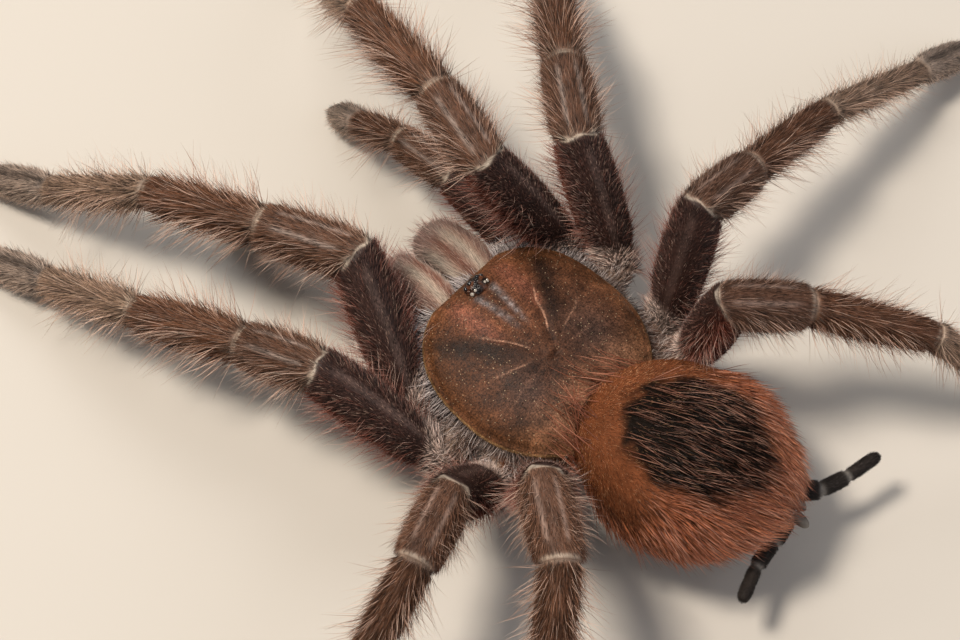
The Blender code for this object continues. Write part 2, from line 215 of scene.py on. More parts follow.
def ripple(points: Array, scale: float, seed: float = 0.0) -> Array:
    """Smooth irregular variation from -1 to 1.

    Args:
        points: Places in millimetres.
        scale: Rough size of its patches in millimetres.
        seed: Shifts the pattern.

    Returns:
        One value for each point.
    """
    p = points / scale
    x, y, z = p[..., 0] + seed, p[..., 1] + 1.7 * seed, p[..., 2] + 2.3 * seed
    return (np.sin(2.1 * x + 1.3 * np.sin(1.7 * y + z)) + np.sin(1.9 * y + 1.1 * np.sin(2.3 * z + x))
            + np.sin(2.3 * z + 1.2 * np.sin(1.5 * x + y))) / 3.0


def mottle(colours: Array, points: Array, strength: float, scale: float, seed: float = 0.0) -> Array:
    """Vary the brightness of colours by a ripple."""
    return colours * (1.0 + strength * ripple(points, scale, seed))[..., None]


def turns(count: int, start: float = 0.0) -> Array:
    """Angles evenly round a circle, the first one a share of a step past zero."""
    return 2.0 * np.pi * (np.arange(count) + start) / count


def ring_about(angle: Array, first: Array, second: Array) -> Array:
    """Points of a unit circle in the plane of two axes."""
    return np.cos(angle)[:, None] * first + np.sin(angle)[:, None] * second


def globe(turn: Array, angle: Array) -> Array:
    """Points of a unit ball by ring and place, the first ring on top."""
    return np.stack([np.sin(turn) * np.cos(angle), np.sin(turn) * np.sin(angle), np.cos(turn) + 0 * angle], -1)


def add(tree: NodeTree, kind: str, inputs: dict | None = None, **settings: Any) -> Node:
    """Add a node with its settings, its values and its links.

    Args:
        tree: The node tree.
        kind: The node's type.
        inputs: For each input by name or number a value, an output to link, or a node, which gives its first.
        **settings: The node's own properties.

    Returns:
        The node.
    """
    node = tree.nodes.new(kind)
    for name, value in settings.items():
        setattr(node, name, value)
    for key, value in (inputs or {}).items():
        source = value.outputs[0] if isinstance(value, Node) else value
        if isinstance(source, NodeSocket):
            tree.links.new(source, node.inputs[key])
        else:
            node.inputs[key].default_value = source
    return node


def per_mm(spacing: float) -> float:
    """Scale of a pattern whose features are so many millimetres apart."""
    return 1.0 / (spacing * MM)


def span(low: float, high: float, to_low: float, to_high: float) -> dict[str, float]:
    """Inputs that map one range of values to another."""
    return {"From Min": low, "From Max": high, "To Min": to_low, "To Max": to_high}


def row_shift() -> Array:
    """Where the animal's own origin lies in the row's frame, in millimetres."""
    low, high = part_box("carapace")
    return np.array([(low.x + high.x) / 2 / MM, high.y / MM - Carapace.back, 0.0])


def link(name: str, data: ID) -> Object:
    """Make an object of some data in the scene.

    Args:
        name: Its name.
        data: Its data.

    Returns:
        The object.
    """
    made = bpy.data.objects.new(name, data)
    bpy.context.scene.collection.objects.link(made)
    return made


# ---- finishes


@dataclass(frozen=True)
class Finish:
    """What every finish has: a name, a roughness, and nodes of its own that feed the shader."""

    name: str
    roughness: float = 0.6

    def feed(self, tree: NodeTree) -> dict[str, Any]:
        """Make the finish's own nodes.

        Args:
            tree: The material's node tree.

        Returns:
            A value, a node or an output for each of the shader's inputs.
        """
        raise NotImplementedError

    def build(self) -> Material:
        """Make the material, with its constants on the shader's own sockets.

        Returns:
            The material.
        """
        made = bpy.data.materials.new(self.name)
        made.use_nodes = True
        tree = made.node_tree
        tree.nodes.clear()
        shader = add(tree, "ShaderNodeBsdfPrincipled", {"Roughness": self.roughness, **self.feed(tree)})
        add(tree, "ShaderNodeOutputMaterial", {"Surface": shader})
        return made


@dataclass(frozen=True)
class Cuticle(Finish):
    """Spider cuticle under the coat: tanned chitin, closely pitted by the sockets of its bristles.

    The pits scatter the light, so it looks matt and slightly grainy between the bristles.
    """

    roughness: float = 0.55
    grain: float = 0.22  # spacing of the sockets, mm
    depth: float = 0.05  # of the sockets, mm
    clouds: float = 2.2  # size of the lighter and darker places, mm
    speckle: float = 0.35  # how far they differ
    gloss: float = 0.32  # strength of the reflection

    def feed(self, tree: NodeTree) -> dict[str, Any]:
        """Tint the skin by its own colours and pit it.

        Args:
            tree: The material's node tree.

        Returns:
            What feeds the shader.
        """
        spot = add(tree, "ShaderNodeTexCoord").outputs["Object"]
        tint = add(tree, "ShaderNodeAttribute", attribute_name="tint")
        pits = add(tree, "ShaderNodeTexVoronoi", {"Vector": spot, "Scale": per_mm(self.grain)})
        broad = add(tree, "ShaderNodeTexNoise", {"Vector": spot, "Scale": per_mm(self.clouds), "Detail": 3.0})
        value = add(tree, "ShaderNodeMapRange",
                    {"Value": broad, **span(0.3, 0.7, 1.0 - self.speckle, 1.0 + self.speckle)})
        toned = add(tree, "ShaderNodeVectorMath", {0: tint, "Scale": value}, operation="SCALE")
        relief = add(tree, "ShaderNodeBump", {"Height": pits, "Strength": 0.7, "Distance": self.depth * MM})
        return {"Base Color": toned, "Normal": relief, "Specular IOR Level": self.gloss}


@dataclass(frozen=True)
class Bristle(Finish):
    """Hollow translucent chitin bristle: brown, darkened at the root as painted shade deep in the coat, and
    paler towards the tip.
    """

    roughness: float = 0.42
    # root: the darker roots are painted shade deep in the coat
    root: float = 0.55  # brightness at the root, beside the tint
    tip: float = 1.35  # brightness at the tip
    vary: float = 0.45  # how far bristles differ in brightness
    pale: str = "#c9b3a2"  # the few pale bristles
    pale_share: float = 0.12
    gloss: float = 0.3  # strength of the reflection

    def feed(self, tree: NodeTree) -> dict[str, Any]:
        """Colour each bristle from its tint, strand and tip attributes.

        Args:
            tree: The material's node tree.

        Returns:
            What feeds the shader.
        """
        tint = add(tree, "ShaderNodeAttribute", attribute_name="tint")
        strand = add(tree, "ShaderNodeAttribute", attribute_name="strand").outputs["Fac"]
        along = add(tree, "ShaderNodeAttribute", attribute_name="tip").outputs["Fac"]
        # Darker at the root: painted shade deep in the coat.
        lengthwise = add(tree, "ShaderNodeMapRange", {"Value": along, **span(0.0, 1.0, self.root, self.tip)})
        each = add(tree, "ShaderNodeMapRange",
                   {"Value": strand, **span(0.0, 1.0, 1.0 - self.vary, 1.0 + self.vary)})
        both = add(tree, "ShaderNodeMath", {0: lengthwise, 1: each}, operation="MULTIPLY")
        toned = add(tree, "ShaderNodeVectorMath", {0: tint, "Scale": both}, operation="SCALE")
        chosen = add(tree, "ShaderNodeMath", {0: strand, 1: 1.0 - self.pale_share}, operation="GREATER_THAN")
        part = add(tree, "ShaderNodeMath", {0: chosen, 1: along}, operation="MULTIPLY")
        blended = add(tree, "ShaderNodeMix", {"Factor": part, 6: toned, 7: (*linear(self.pale), 1.0)},
                      data_type="RGBA")
        return {"Base Color": blended.outputs[2], "Specular IOR Level": self.gloss}


@dataclass(frozen=True)
class Plate(Finish):
    """The carapace: thick polished chitin under a sparse nap, with a soft lacquer-like shine."""

    roughness: float = 0.5
    grain: float = 0.2  # size of the fine granules, mm
    fleck: float = 0.5  # spacing of the golden flecks, mm
    # bright: the flecks' colour, partly the plate's own golden specks and partly painted glints
    bright: str = "#d9bd98"  # colour of the flecks
    gloss: float = 0.16  # strength of the reflection
    clouds: float = 3.0  # size of the lighter and darker places, mm
    dust: float = 0.3  # size of the fine mottling, mm

    def feed(self, tree: NodeTree) -> dict[str, Any]:
        """Make the plate cloudy, finely mottled and granular, with golden flecks that are partly its own
        specks and partly painted glints.

        Args:
            tree: The material's node tree.

        Returns:
            What feeds the shader.
        """
        spot = add(tree, "ShaderNodeTexCoord").outputs["Object"]
        tint = add(tree, "ShaderNodeAttribute", attribute_name="tint")
        cloud = add(tree, "ShaderNodeTexNoise",
                    {"Vector": spot, "Scale": per_mm(self.clouds), "Detail": 5.0, "Roughness": 0.65})
        tone = add(tree, "ShaderNodeMapRange", {"Value": cloud, **span(0.3, 0.7, 0.5, 1.6)})
        dust = add(tree, "ShaderNodeTexNoise",
                   {"Vector": spot, "Scale": per_mm(self.dust), "Detail": 3.0, "Roughness": 0.7})
        fine = add(tree, "ShaderNodeMapRange", {"Value": dust, **span(0.35, 0.68, 0.35, 1.85)})
        both = add(tree, "ShaderNodeMath", {0: tone, 1: fine}, operation="MULTIPLY")
        toned = add(tree, "ShaderNodeVectorMath", {0: tint, "Scale": both}, operation="SCALE")
        # Flecks: partly the plate's own golden specks, partly painted glints.
        cells = add(tree, "ShaderNodeTexVoronoi", {"Vector": spot, "Scale": per_mm(self.fleck)})
        close = add(tree, "ShaderNodeMapRange", {"Value": cells, **span(0.06, 0.2, 0.8, 0.0)})
        some = add(tree, "ShaderNodeMath", {0: cells.outputs["Color"], 1: 0.58}, operation="GREATER_THAN")
        share = add(tree, "ShaderNodeMath", {0: close, 1: some}, operation="MULTIPLY")
        flecked = add(tree, "ShaderNodeMix", {"Factor": share, 6: toned, 7: (*linear(self.bright), 1.0)},
                      data_type="RGBA")
        grains = add(tree, "ShaderNodeTexNoise", {"Vector": spot, "Scale": per_mm(self.grain), "Detail": 2.0})
        relief = add(tree, "ShaderNodeBump", {"Height": grains, "Strength": 0.9, "Distance": 0.08 * MM})
        shine = add(tree, "ShaderNodeMapRange",
                    {"Value": cloud, **span(0.3, 0.7, self.roughness - 0.06, self.roughness + 0.14)})
        return {"Base Color": flecked.outputs[2], "Normal": relief, "Roughness": shine,
                "Specular IOR Level": self.gloss}


@dataclass(frozen=True)
class Horn(Finish):
    """Hardened black chitin of fangs, claws and eye lenses: dense, smooth and glossy."""

    roughness: float = 0.16
    colour: str = "#0c0807"
    warm: str = "#2c120a"
    coat: float = 0.6
    clouds: float = 1.2  # size of the colour's clouds, mm

    def feed(self, tree: NodeTree) -> dict[str, Any]:
        """Cloud the horn with its warmer colour and coat it.

        Args:
            tree: The material's node tree.

        Returns:
            What feeds the shader.
        """
        spot = add(tree, "ShaderNodeTexCoord").outputs["Object"]
        cloud = add(tree, "ShaderNodeTexNoise", {"Vector": spot, "Scale": per_mm(self.clouds)})
        tone = add(tree, "ShaderNodeMix", {"Factor": cloud, 6: (*linear(self.colour), 1.0),
                                           7: (*linear(self.warm), 1.0)}, data_type="RGBA")
        return {"Base Color": tone.outputs[2], "Coat Weight": self.coat, "Coat Roughness": 0.05}


# ---- skins


@dataclass
class Skin:
    """A skin through rings of points, closed at both ends by a point."""

    name: str
    rings: Array  # points by ring and place round it, mm
    object: Object | None = None  # its mesh object, once built

    def spread(self, values: Any) -> Array:
        """Lay values out by mesh point, the two end points last.

        Args:
            values: One for all, or one for each ring and place; a last axis of three is a vector or a colour.

        Returns:
            One row for each point.
        """
        values = np.asarray(values, float)
        rows, places = self.rings.shape[:2]
        each = values.shape[-1:] if values.ndim in (1, 3) else ()
        full = np.broadcast_to(values, (rows, places) + each)
        ends = full[[0, -1]].mean(1)
        return np.concatenate([full.reshape((rows * places,) + each), ends])

    def faces(self) -> tuple[list[tuple[int, ...]], list[tuple[float, float]]]:
        """List the faces and the place of each of their corners on the unwrap.

        Returns:
            Faces as point numbers, and one place for each corner in the same order.
        """
        rows, places = self.rings.shape[:2]
        steps = np.linalg.norm(np.diff(self.rings.mean(1), axis=0), axis=1)
        down = np.concatenate([[0.0], np.cumsum(np.maximum(steps, 0.05))])
        down = 0.02 + 0.96 * down / down[-1]
        faces, corners = [], []
        for r in range(rows - 1):
            for c in range(places):
                here, after = r * places + c, r * places + (c + 1) % places
                faces.append((here, after, after + places, here + places))
                left, right = c / places, (c + 1) / places
                corners += [(left, down[r]), (right, down[r]), (right, down[r + 1]), (left, down[r + 1])]
        for point, row, edge, turn in ((rows * places, 0, 0.0, -1), (rows * places + 1, rows - 1, 1.0, 1)):
            for c in range(places):
                ring = (row * places + c, row * places + (c + 1) % places)[::turn]
                spots = [(c / places, down[row]), ((c + 1) / places, down[row])][::turn]
                faces.append((*ring, point))
                corners += [*spots, ((c + 0.5) / places, edge)]
        return faces, corners

    def build(self, finish: Finish, tint: Any) -> Object:
        """Write the skin as a mesh with its tint.

        Args:
            finish: The skin's finish.
            tint: Linear colour by ring and place.

        Returns:
            The object.
        """
        points = self.spread(self.rings)
        faces, corners = self.faces()
        mesh = bpy.data.meshes.new(self.name)
        mesh.from_pydata(((points + SHIFT) * MM).tolist(), [], faces)
        unwrap = mesh.uv_layers.new(name="unwrap")
        unwrap.data.foreach_set("uv", np.array(corners, np.float32).ravel())
        if volume(points, faces) < 0.0:
            mesh.flip_normals()
        mesh.shade_smooth()
        mesh.materials.append(TOOLS.material(finish))
        self.object = link(self.name, mesh)
        write(mesh, "tint", self.spread(tint))
        return self.object

    @property
    def normals(self) -> Array:
        """Outward direction at each mesh point."""
        mesh = self.object.data
        found = np.empty(len(mesh.vertices) * 3, np.float32)
        mesh.vertex_normals.foreach_get("vector", found)
        return found.reshape(-1, 3).astype(float)


def volume(points: Array, faces: Sequence[tuple[int, ...]]) -> float:
    """Measure a closed mesh.

    Args:
        points: Its points.
        faces: Its faces as point numbers.

    Returns:
        Six times its signed volume, which is negative when its faces point inwards.
    """
    total = 0.0
    for size in (3, 4):
        chosen = np.array([face for face in faces if len(face) == size], int)
        for k in range(1, size - 1):
            a, b, c = points[chosen[:, 0]], points[chosen[:, k]], points[chosen[:, k + 1]]
            total += float((np.cross(a, b) * c).sum())
    return total


def write(mesh: Mesh, name: str, values: Array) -> None:
    """Store a value, a vector or a colour at each point of a mesh.

    Args:
        mesh: The mesh.
        name: The attribute's name; "tint" is a colour.
        values: One row for each point.
    """
    kind, key = "FLOAT", "value"
    if name == "tint":
        kind, key = "FLOAT_COLOR", "color"
        values = np.concatenate([np.clip(values, 0.0, 1.0), np.ones((len(values), 1))], 1)
    elif values.ndim == 2:
        kind, key = {3: "FLOAT_VECTOR", 2: "FLOAT2"}[values.shape[1]], "vector"
    made = mesh.attributes.get(name) or mesh.attributes.new(name, kind, "POINT")
    made.data.foreach_set(key, np.ascontiguousarray(values, np.float32).ravel())


# ---- coat


@dataclass(frozen=True)
class Shape:
    """One bristle of length one, standing on its root along Z and bending towards -X."""

    width: float = 0.08  # thickness at the root as a share of the length
    steps: int = 1  # lengths it is divided into
    bend: float = 0.0  # how far the tip has bent over, as a share of the length
    sides: int = 3  # of its section

    def build(self, name: str) -> Object:
        """Write the bristle as a mesh with its tip and patch attributes.

        Args:
            name: The object's name.

        Returns:
            The object, which is in no scene.
        """
        points, tips, patches = [], [], []
        for step in range(self.steps):
            t = step / self.steps
            radius = 0.5 * self.width * (1.0 - t) ** 0.6
            for k in range(self.sides):
                angle = 2.0 * math.pi * k / self.sides
                points.append((radius * math.cos(angle) - self.bend * t * t, radius * math.sin(angle), t))
                tips.append(t)
                patches.append((k / (self.sides - 1) * (1.0 - 0.5 * t), t))
        points.append((-self.bend, 0.0, math.sqrt(max(0.0, 1.0 - self.bend ** 2))))
        tips.append(1.0)
        patches.append((0.5, 1.0))
        faces = []
        for step in range(self.steps - 1):
            for k in range(self.sides):
                low, after = step * self.sides + k, step * self.sides + (k + 1) % self.sides
                faces.append((low, after, after + self.sides, low + self.sides))
        last = (self.steps - 1) * self.sides
        faces += [(last + k, last + (k + 1) % self.sides, len(points) - 1) for k in range(self.sides)]
        mesh = bpy.data.meshes.new(name)
        mesh.from_pydata(points, [], faces)
        mesh.shade_smooth()
        write(mesh, "tip", np.array(tips))
        write(mesh, "patch", np.array(patches) * PATCH)
        return bpy.data.objects.new(name, mesh)


class Comb:
    """The Geometry Nodes tree that grows bristles over a skin, with its inputs.

    The skin carries the lie of the coat (comb), its angle off the skin (lift, radians), its length (reach,
    metres), how crowded it is (crowd, 0 to 1), its colour (tint) and its unwrap.
    """

    INPUTS = (("Density", "Float"), ("Seed", "Int"), ("Spread", "Float"), ("Unevenness", "Float"),
              ("Bristles", "Collection"), ("Finish", "Material"))

    def __init__(self) -> None:
        """Build the tree."""
        self.tree = tree = bpy.data.node_groups.new("coat", "GeometryNodeTree")
        for way in ("INPUT", "OUTPUT"):
            tree.interface.new_socket("Geometry", in_out=way, socket_type="NodeSocketGeometry")
        self.sockets = {name: tree.interface.new_socket(name, in_out="INPUT",
                                                        socket_type=f"NodeSocket{kind}").identifier
                        for name, kind in self.INPUTS}
        given = add(tree, "NodeGroupInput").outputs
        density = add(tree, "ShaderNodeMath", {0: self.read("crowd", "FLOAT"), 1: given["Density"]},
                      operation="MULTIPLY")
        points = add(tree, "GeometryNodeDistributePointsOnFaces",
                     {"Mesh": given["Geometry"], "Density": density, "Seed": given["Seed"]})
        least, most = (add(tree, "ShaderNodeMath", {0: 1.0, 1: given["Unevenness"]}, operation=kind)
                       for kind in ("SUBTRACT", "ADD"))
        uneven = add(tree, "FunctionNodeRandomValue", {2: least, 3: most, "Seed": 11}, data_type="FLOAT")
        length = add(tree, "ShaderNodeMath", {0: self.read("reach", "FLOAT"), 1: uneven.outputs[1]},
                     operation="MULTIPLY")
        bristles = add(tree, "GeometryNodeCollectionInfo", {"Collection": given["Bristles"],
                                                            "Separate Children": True, "Reset Children": True})
        placed = add(tree, "GeometryNodeInstanceOnPoints",
                     {"Points": points, "Instance": bristles, "Pick Instance": True,
                      "Rotation": self.turning(points.outputs["Normal"], given["Spread"]), "Scale": length})
        chance = add(tree, "FunctionNodeRandomValue", {2: 0.0, 3: 1.0, "Seed": 23}, data_type="FLOAT")
        marked = add(tree, "GeometryNodeStoreNamedAttribute",
                     {"Geometry": placed, "Name": "strand", "Value": chance.outputs[1]},
                     data_type="FLOAT", domain="INSTANCE")
        solid = add(tree, "GeometryNodeRealizeInstances", {"Geometry": marked})
        spot = add(tree, "ShaderNodeVectorMath", {0: self.read("unwrap", "FLOAT_VECTOR"),
                                                  1: self.read("patch", "FLOAT_VECTOR")}, operation="ADD")
        mapped = add(tree, "GeometryNodeStoreNamedAttribute",
                     {"Geometry": solid, "Name": "OFBake", "Value": spot}, data_type="FLOAT2", domain="CORNER")
        dressed = add(tree, "GeometryNodeSetMaterial", {"Geometry": mapped, "Material": given["Finish"]})
        add(tree, "NodeGroupOutput", {"Geometry": dressed})

    def read(self, name: str, kind: str) -> Node:
        """The node that reads a named attribute."""
        return add(self.tree, "GeometryNodeInputNamedAttribute", {"Name": name}, data_type=kind)

    def turning(self, normal: NodeSocket, spread: NodeSocket) -> Node:
        """Turn each bristle along the lie of the coat, lifted off the skin and a little astray.

        Args:
            normal: The skin's outward direction.
            spread: How far bristles stray, as a share of their length.

        Returns:
            The node that gives the rotation.
        """
        tree, lift = self.tree, self.read("lift", "FLOAT")
        level = add(tree, "ShaderNodeMath", {0: lift}, operation="COSINE")
        rise = add(tree, "ShaderNodeMath", {0: lift}, operation="SINE")
        flat = add(tree, "ShaderNodeVectorMath", {0: self.read("comb", "FLOAT_VECTOR"), "Scale": level},
                   operation="SCALE")
        out = add(tree, "ShaderNodeVectorMath", {0: normal, "Scale": rise}, operation="SCALE")
        stray = add(tree, "FunctionNodeRandomValue", {0: (-1.0, -1.0, -1.0), 1: (1.0, 1.0, 1.0), "Seed": 5},
                    data_type="FLOAT_VECTOR")
        astray = add(tree, "ShaderNodeVectorMath", {0: stray, "Scale": spread}, operation="SCALE")
        both = add(tree, "ShaderNodeVectorMath", {0: flat, 1: out}, operation="ADD")
        way = add(tree, "ShaderNodeVectorMath", {0: both, 1: astray}, operation="ADD")
        return add(tree, "FunctionNodeAxesToRotation", {0: way, 1: normal},
                   primary_axis="Z", secondary_axis="X")


@dataclass(frozen=True)
class Layer:
    """One kind of bristle in the coat."""

    name: str  # added to the skin's name
    density: float  # bristles to the square millimetre where the coat is fullest
    finish: Bristle
    shapes: tuple[Shape, ...]  # the bristles to choose from
    spread: float = 0.2  # how far bristles stray, as a share of their length
    uneven: float = 0.25  # how far their lengths differ

    def grow(self, skin: Skin, comb: Array, lift: Any, reach: Any, crowd: Any, tint: Any,
             seed: int) -> Object:
        """Grow this layer over a skin.

        Args:
            skin: The skin, already built.
            comb: The lie of the coat by ring and place.
            lift: Angle off the skin, degrees.
            reach: Length, mm.
            crowd: Share of the full density.
            tint: Colour by ring and place.
            seed: Seed of its randomness.

        Returns:
            The coat as a plain mesh object.
        """
        lifted, length, crowded = (skin.spread(item) for item in (lift, reach, crowd))
        angle, normal, lie = np.radians(lifted), skin.normals, skin.spread(comb)
        lie = unit(lie - normal * (lie * normal).sum(1, keepdims=True))
        way = lie * np.cos(angle)[:, None] + normal * np.sin(angle)[:, None]
        room = skin.spread(skin.rings)[:, 2] - FLOOR_CLEARANCE
        fits = room / np.maximum(-way[:, 2] + 0.6 * self.spread, 1e-3) / (1.0 + self.uneven)
        length = np.minimum(length, np.maximum(fits, 0.0))
        crowded = np.where(length > SHORTEST, crowded, 0.0)
        carrier = link("carrier", skin.object.data.copy())
        for name, values in (("comb", lie), ("lift", angle), ("reach", length * MM), ("crowd", crowded),
                             ("tint", skin.spread(tint))):
            write(carrier.data, name, values)
        made = self.evaluate(carrier, f"{skin.name}_{self.name}", seed)
        bpy.data.objects.remove(carrier)
        return made

    def evaluate(self, carrier: Object, name: str, seed: int) -> Object:
        """Run the tree on a carrier and keep the result as a plain mesh.

        Args:
            carrier: The copy of the skin with the coat's attributes.
            name: The new piece's name.
            seed: Seed of its randomness.

        Returns:
            The coat's object.
        """
        modifier = carrier.modifiers.new("coat", "NODES")
        modifier.node_group = TOOLS.comb.tree
        settings = {"Density": self.density / MM ** 2, "Seed": seed, "Spread": self.spread,
                    "Unevenness": self.uneven, "Bristles": TOOLS.bristles(self),
                    "Finish": TOOLS.material(self.finish)}
        for key, value in settings.items():
            modifier[TOOLS.comb.sockets[key]] = value
        depsgraph = bpy.context.evaluated_depsgraph_get()
        mesh = bpy.data.meshes.new_from_object(carrier.evaluated_get(depsgraph), preserve_all_data_layers=True,
                                               depsgraph=depsgraph)
        for spare in ("comb", "lift", "reach", "crowd", "patch", "unwrap"):
            held = mesh.attributes.get(spare)
            if held is not None:
                mesh.attributes.remove(held)
        mesh.name = name
        count = triangles(mesh)
        if count > MOST_TRIANGLES:
            raise ValueError(f"{name} has {count} triangles")
        LOG.info("%s: %d triangles", name, count)
        return link(name, mesh)


def triangles(mesh: Mesh) -> int:
    """Count the triangles that a mesh's faces make."""
    return len(mesh.loops) - 2 * len(mesh.polygons)


class Tools:
    """What the pieces share: the coat's tree, the bristle meshes and the materials."""

    def __init__(self) -> None:
        """Build the tree and start with no bristles or materials."""
        self.comb = Comb()
        self.made: dict[Finish, Material] = {}
        self.sets: dict[tuple[Shape, ...], Collection] = {}

    def material(self, finish: Finish) -> Material:
        """The finish's material, made on first use."""
        return self.made.get(finish) or self.made.setdefault(finish, finish.build())

    def bristles(self, layer: Layer) -> Collection:
        """Give the collection of a layer's bristle meshes, made on first use.

        Args:
            layer: The layer.

        Returns:
            The collection, which is in no scene.
        """
        if layer.shapes not in self.sets:
            held = bpy.data.collections.new(f"bristles_{len(self.sets)}")
            for k, shape in enumerate(layer.shapes):
                held.objects.link(shape.build(f"bristle_{len(self.sets)}_{k}"))
            self.sets[layer.shapes] = held
        return self.sets[layer.shapes]

    def clear(self) -> None:
        """Remove the bristle meshes once everything has grown."""
        for held in self.sets.values():
            for item in list(held.objects):
                bpy.data.objects.remove(item)
            bpy.data.collections.remove(held)
        self.sets.clear()


def place(made: Object, slot: Slot, *nodes: str) -> None:
    """Let a piece ride on the body and hide the nodes that it stands for.

    Args:
        made: The piece.
        slot: Its slot; not used.
        *nodes: The nodes.
    """
    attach(made, "root")
    if nodes:
        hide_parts(*nodes)
    LOG.info("%s stands for %s", made.name, ", ".join(nodes) or "no node")


# ---- limbs


@dataclass(frozen=True)
class Rows:
    """The rings of a limb, and where each lies on it, mm."""

    points: Array
    part: Array  # that each ring is on: femur 0, patella 1, tibia 2, metatarsus 3, tarsus 4
    share: Array  # of that part's length
    behind: Array  # distance from the joint behind
    ahead: Array  # distance to the joint ahead
    along: Array  # direction of the part
    dorsal: Array  # direction of its back
    angle: Array  # of each place round a ring

    @property
    def top(self) -> Array:
        """How far up each place round a ring lies, from -1 to 1."""
        return np.sin(self.angle)[None, :]

    def of_part(self, values: Sequence[float]) -> Array:
        """Give each ring its part's value."""
        return np.array(values)[self.part][:, None]

    def colours(self, *parts: str) -> Array:
        """Give each ring its part's colour."""
        return np.array([linear(colour) for colour in parts])[self.part][:, None, :]

    def hip(self) -> Array:
        """Strength of the wool over the root of the femur."""
        return ((self.part == 0) * (1.0 - ease(0.10, 0.17, self.share)))[:, None] * ease(-0.6, 0.2, self.top)


@dataclass(frozen=True)
class LimbSizes:
    """Sizes of one kind of limb, out to the tips of the coat, mm."""

    root: Point  # where its coxa starts on the left side
    lengths: tuple[float, ...]
    radii: tuple[float, ...]  # at its joints
    swell: tuple[float, ...] = (1.0, 0.45, 0.45, 0.1)


LEG_RADII = (3.3, 4.1, 3.85, 3.3, 2.95)
LIMB_SIZES = {
    Kind.PALP: LimbSizes((3.0, -9.0, 9.2), (18.0, 11.5, 12.5, 8.5), (2.7, 3.1, 3.2, 3.0), (0.45, 0.2, 0.2)),
    Kind.LEG_1: LimbSizes((3.6, -5.6, 9.4), (27.0, 16.8, 21.0, 24.0, 15.5), LEG_RADII),
    Kind.LEG_2: LimbSizes((4.0, -1.3, 9.4), (25.0, 15.2, 20.0, 21.5, 14.8), LEG_RADII),
    Kind.LEG_3: LimbSizes((4.0, 2.5, 9.4), (23.5, 13.8, 19.5, 27.0, 15.5), (3.3, 4.0, 3.75, 3.2, 2.85)),
    Kind.LEG_4: LimbSizes((4.2, 6.2, 9.4), (27.0, 14.5, 21.0, 26.0, 14.0), LEG_RADII),
}


@dataclass(frozen=True)
class Stripe:
    """A bare stripe along a part, or the two that lie so many degrees to each side of its back."""

    part: int
    turn: float
    first: float
    last: float
    strength: float


STRIPES = (Stripe(0, 0.0, 0.14, 0.93, 0.85), Stripe(1, 24.0, 0.10, 0.86, 1.0),
           Stripe(2, 20.0, 0.04, 0.62, 0.7), Stripe(3, 14.0, 0.02, 0.45, 0.4))


def way_of(side: Side, heading: float, pitch: float) -> Array:
    """Direction from a heading, straight out sideways being 0 and straight back 90, and a pitch."""
    turn, rise = math.radians(heading), math.radians(pitch)
    return np.array([side.value * math.cos(turn) * math.cos(rise), math.sin(turn) * math.cos(rise),
                     math.sin(rise)])


def cross_axes(along: Array) -> tuple[Array, Array]:
    """Level sideways axis and dorsal axis of a part."""
    sideways = unit(np.cross(along, UP))
    return sideways, unit(np.cross(sideways, along))


def slant(offset: Array, way: Array, plane: Array) -> Array:
    """How far points beside a joint lie along the part from the joint's plane."""
    return ((offset @ plane) / (way @ plane))[..., None] * way


def beside(angle: Array, off: float) -> Array:
    """Two narrow bells, so many degrees off the back on either side."""
    return bump(angle - math.radians(90.0 - off), 0.2) + bump(angle - math.radians(90.0 + off), 0.2)


@dataclass(frozen=True)
class Fur:
    """How one layer lies on each part of a limb: femur, patella, tibia, metatarsus, tarsus."""

    layer: Layer
    reach: tuple[float, ...]  # length, mm
    lift: tuple[float, ...]  # angle off the skin, degrees
    crowd: tuple[float, ...]  # share of the full density
    flank: float = 0.0  # share of the crowd that is kept for the flanks and the underside
    flare: float = 0.0  # how much further it stands off the flanks, degrees
    wash: str = "#000000"  # colour that it takes on
    washed: float = 0.0  # how strongly
    red: float = 0.0  # how strongly it reddens on the femur
    wool: float = 0.0  # how much longer it is over the hip, mm
    fringe: float = 0.0  # how much longer it is under the femur, mm
    sparse: float = 0.0  # how much thinner it is on the femur's back


NEAR_JOINT = np.array([0.0, 0.2, 0.4, 0.6, 0.85, 1.15, 1.5, 1.95])  # distances of the closest rings, mm
LEG_SKIN = Cuticle("tanned_leg_cuticle")
LEG_FUR = Bristle("short_leg_bristle", 0.45, root=0.3, tip=1.7, vary=0.85, pale="#b09684", pale_share=0.08)
LEG_SETA = Bristle("long_leg_bristle", 0.4, root=0.3, tip=1.65, vary=0.9, pale="#cdb4a4", pale_share=0.2)
WHISKER = Bristle("straw_whisker", 0.36, root=0.9, tip=1.4, pale="#efdccb", pale_share=0.4)
CLAW_HORN = Horn("claw_horn")

COAT_OF_LEG = (
    Fur(Layer("fur", 9.4, LEG_FUR, (Shape(0.085), Shape(0.105)), 0.14),
        reach=(1.2, 1.5, 1.8, 1.7, 1.5), lift=(25, 15, 12, 12, 13), crowd=(1.05, 1.0, 1.0, 1.0, 1.1),
        flare=8.0, wool=0.9),
    Fur(Layer("bristles", 3.9, LEG_SETA, (Shape(0.03, 2, 0.16), Shape(0.024, 2, 0.1)), 0.13, 0.3),
        reach=(2.1, 2.8, 3.6, 3.6, 2.4), lift=(26, 15, 13, 13, 12), crowd=(0.45, 0.85, 1.0, 1.05, 1.1),
        flank=0.5, flare=26.0, wash="#9a7c66", washed=0.25, red=0.6, wool=0.9, fringe=1.6, sparse=1.0),
    Fur(Layer("whiskers", 1.6, WHISKER, (Shape(0.015, 2, 0.12), Shape(0.012, 2, -0.06), Shape(0.015, 2, 0.2)),
              0.2, 0.4),
        reach=(4.0, 5.0, 6.2, 5.8, 2.4), lift=(50, 50, 46, 48, 36), crowd=(0.6, 0.9, 1.0, 0.9, 0.15),
        flank=0.85, flare=14.0, wash="#c9a490", washed=0.8, red=0.6, fringe=1.6, sparse=1.0),
)


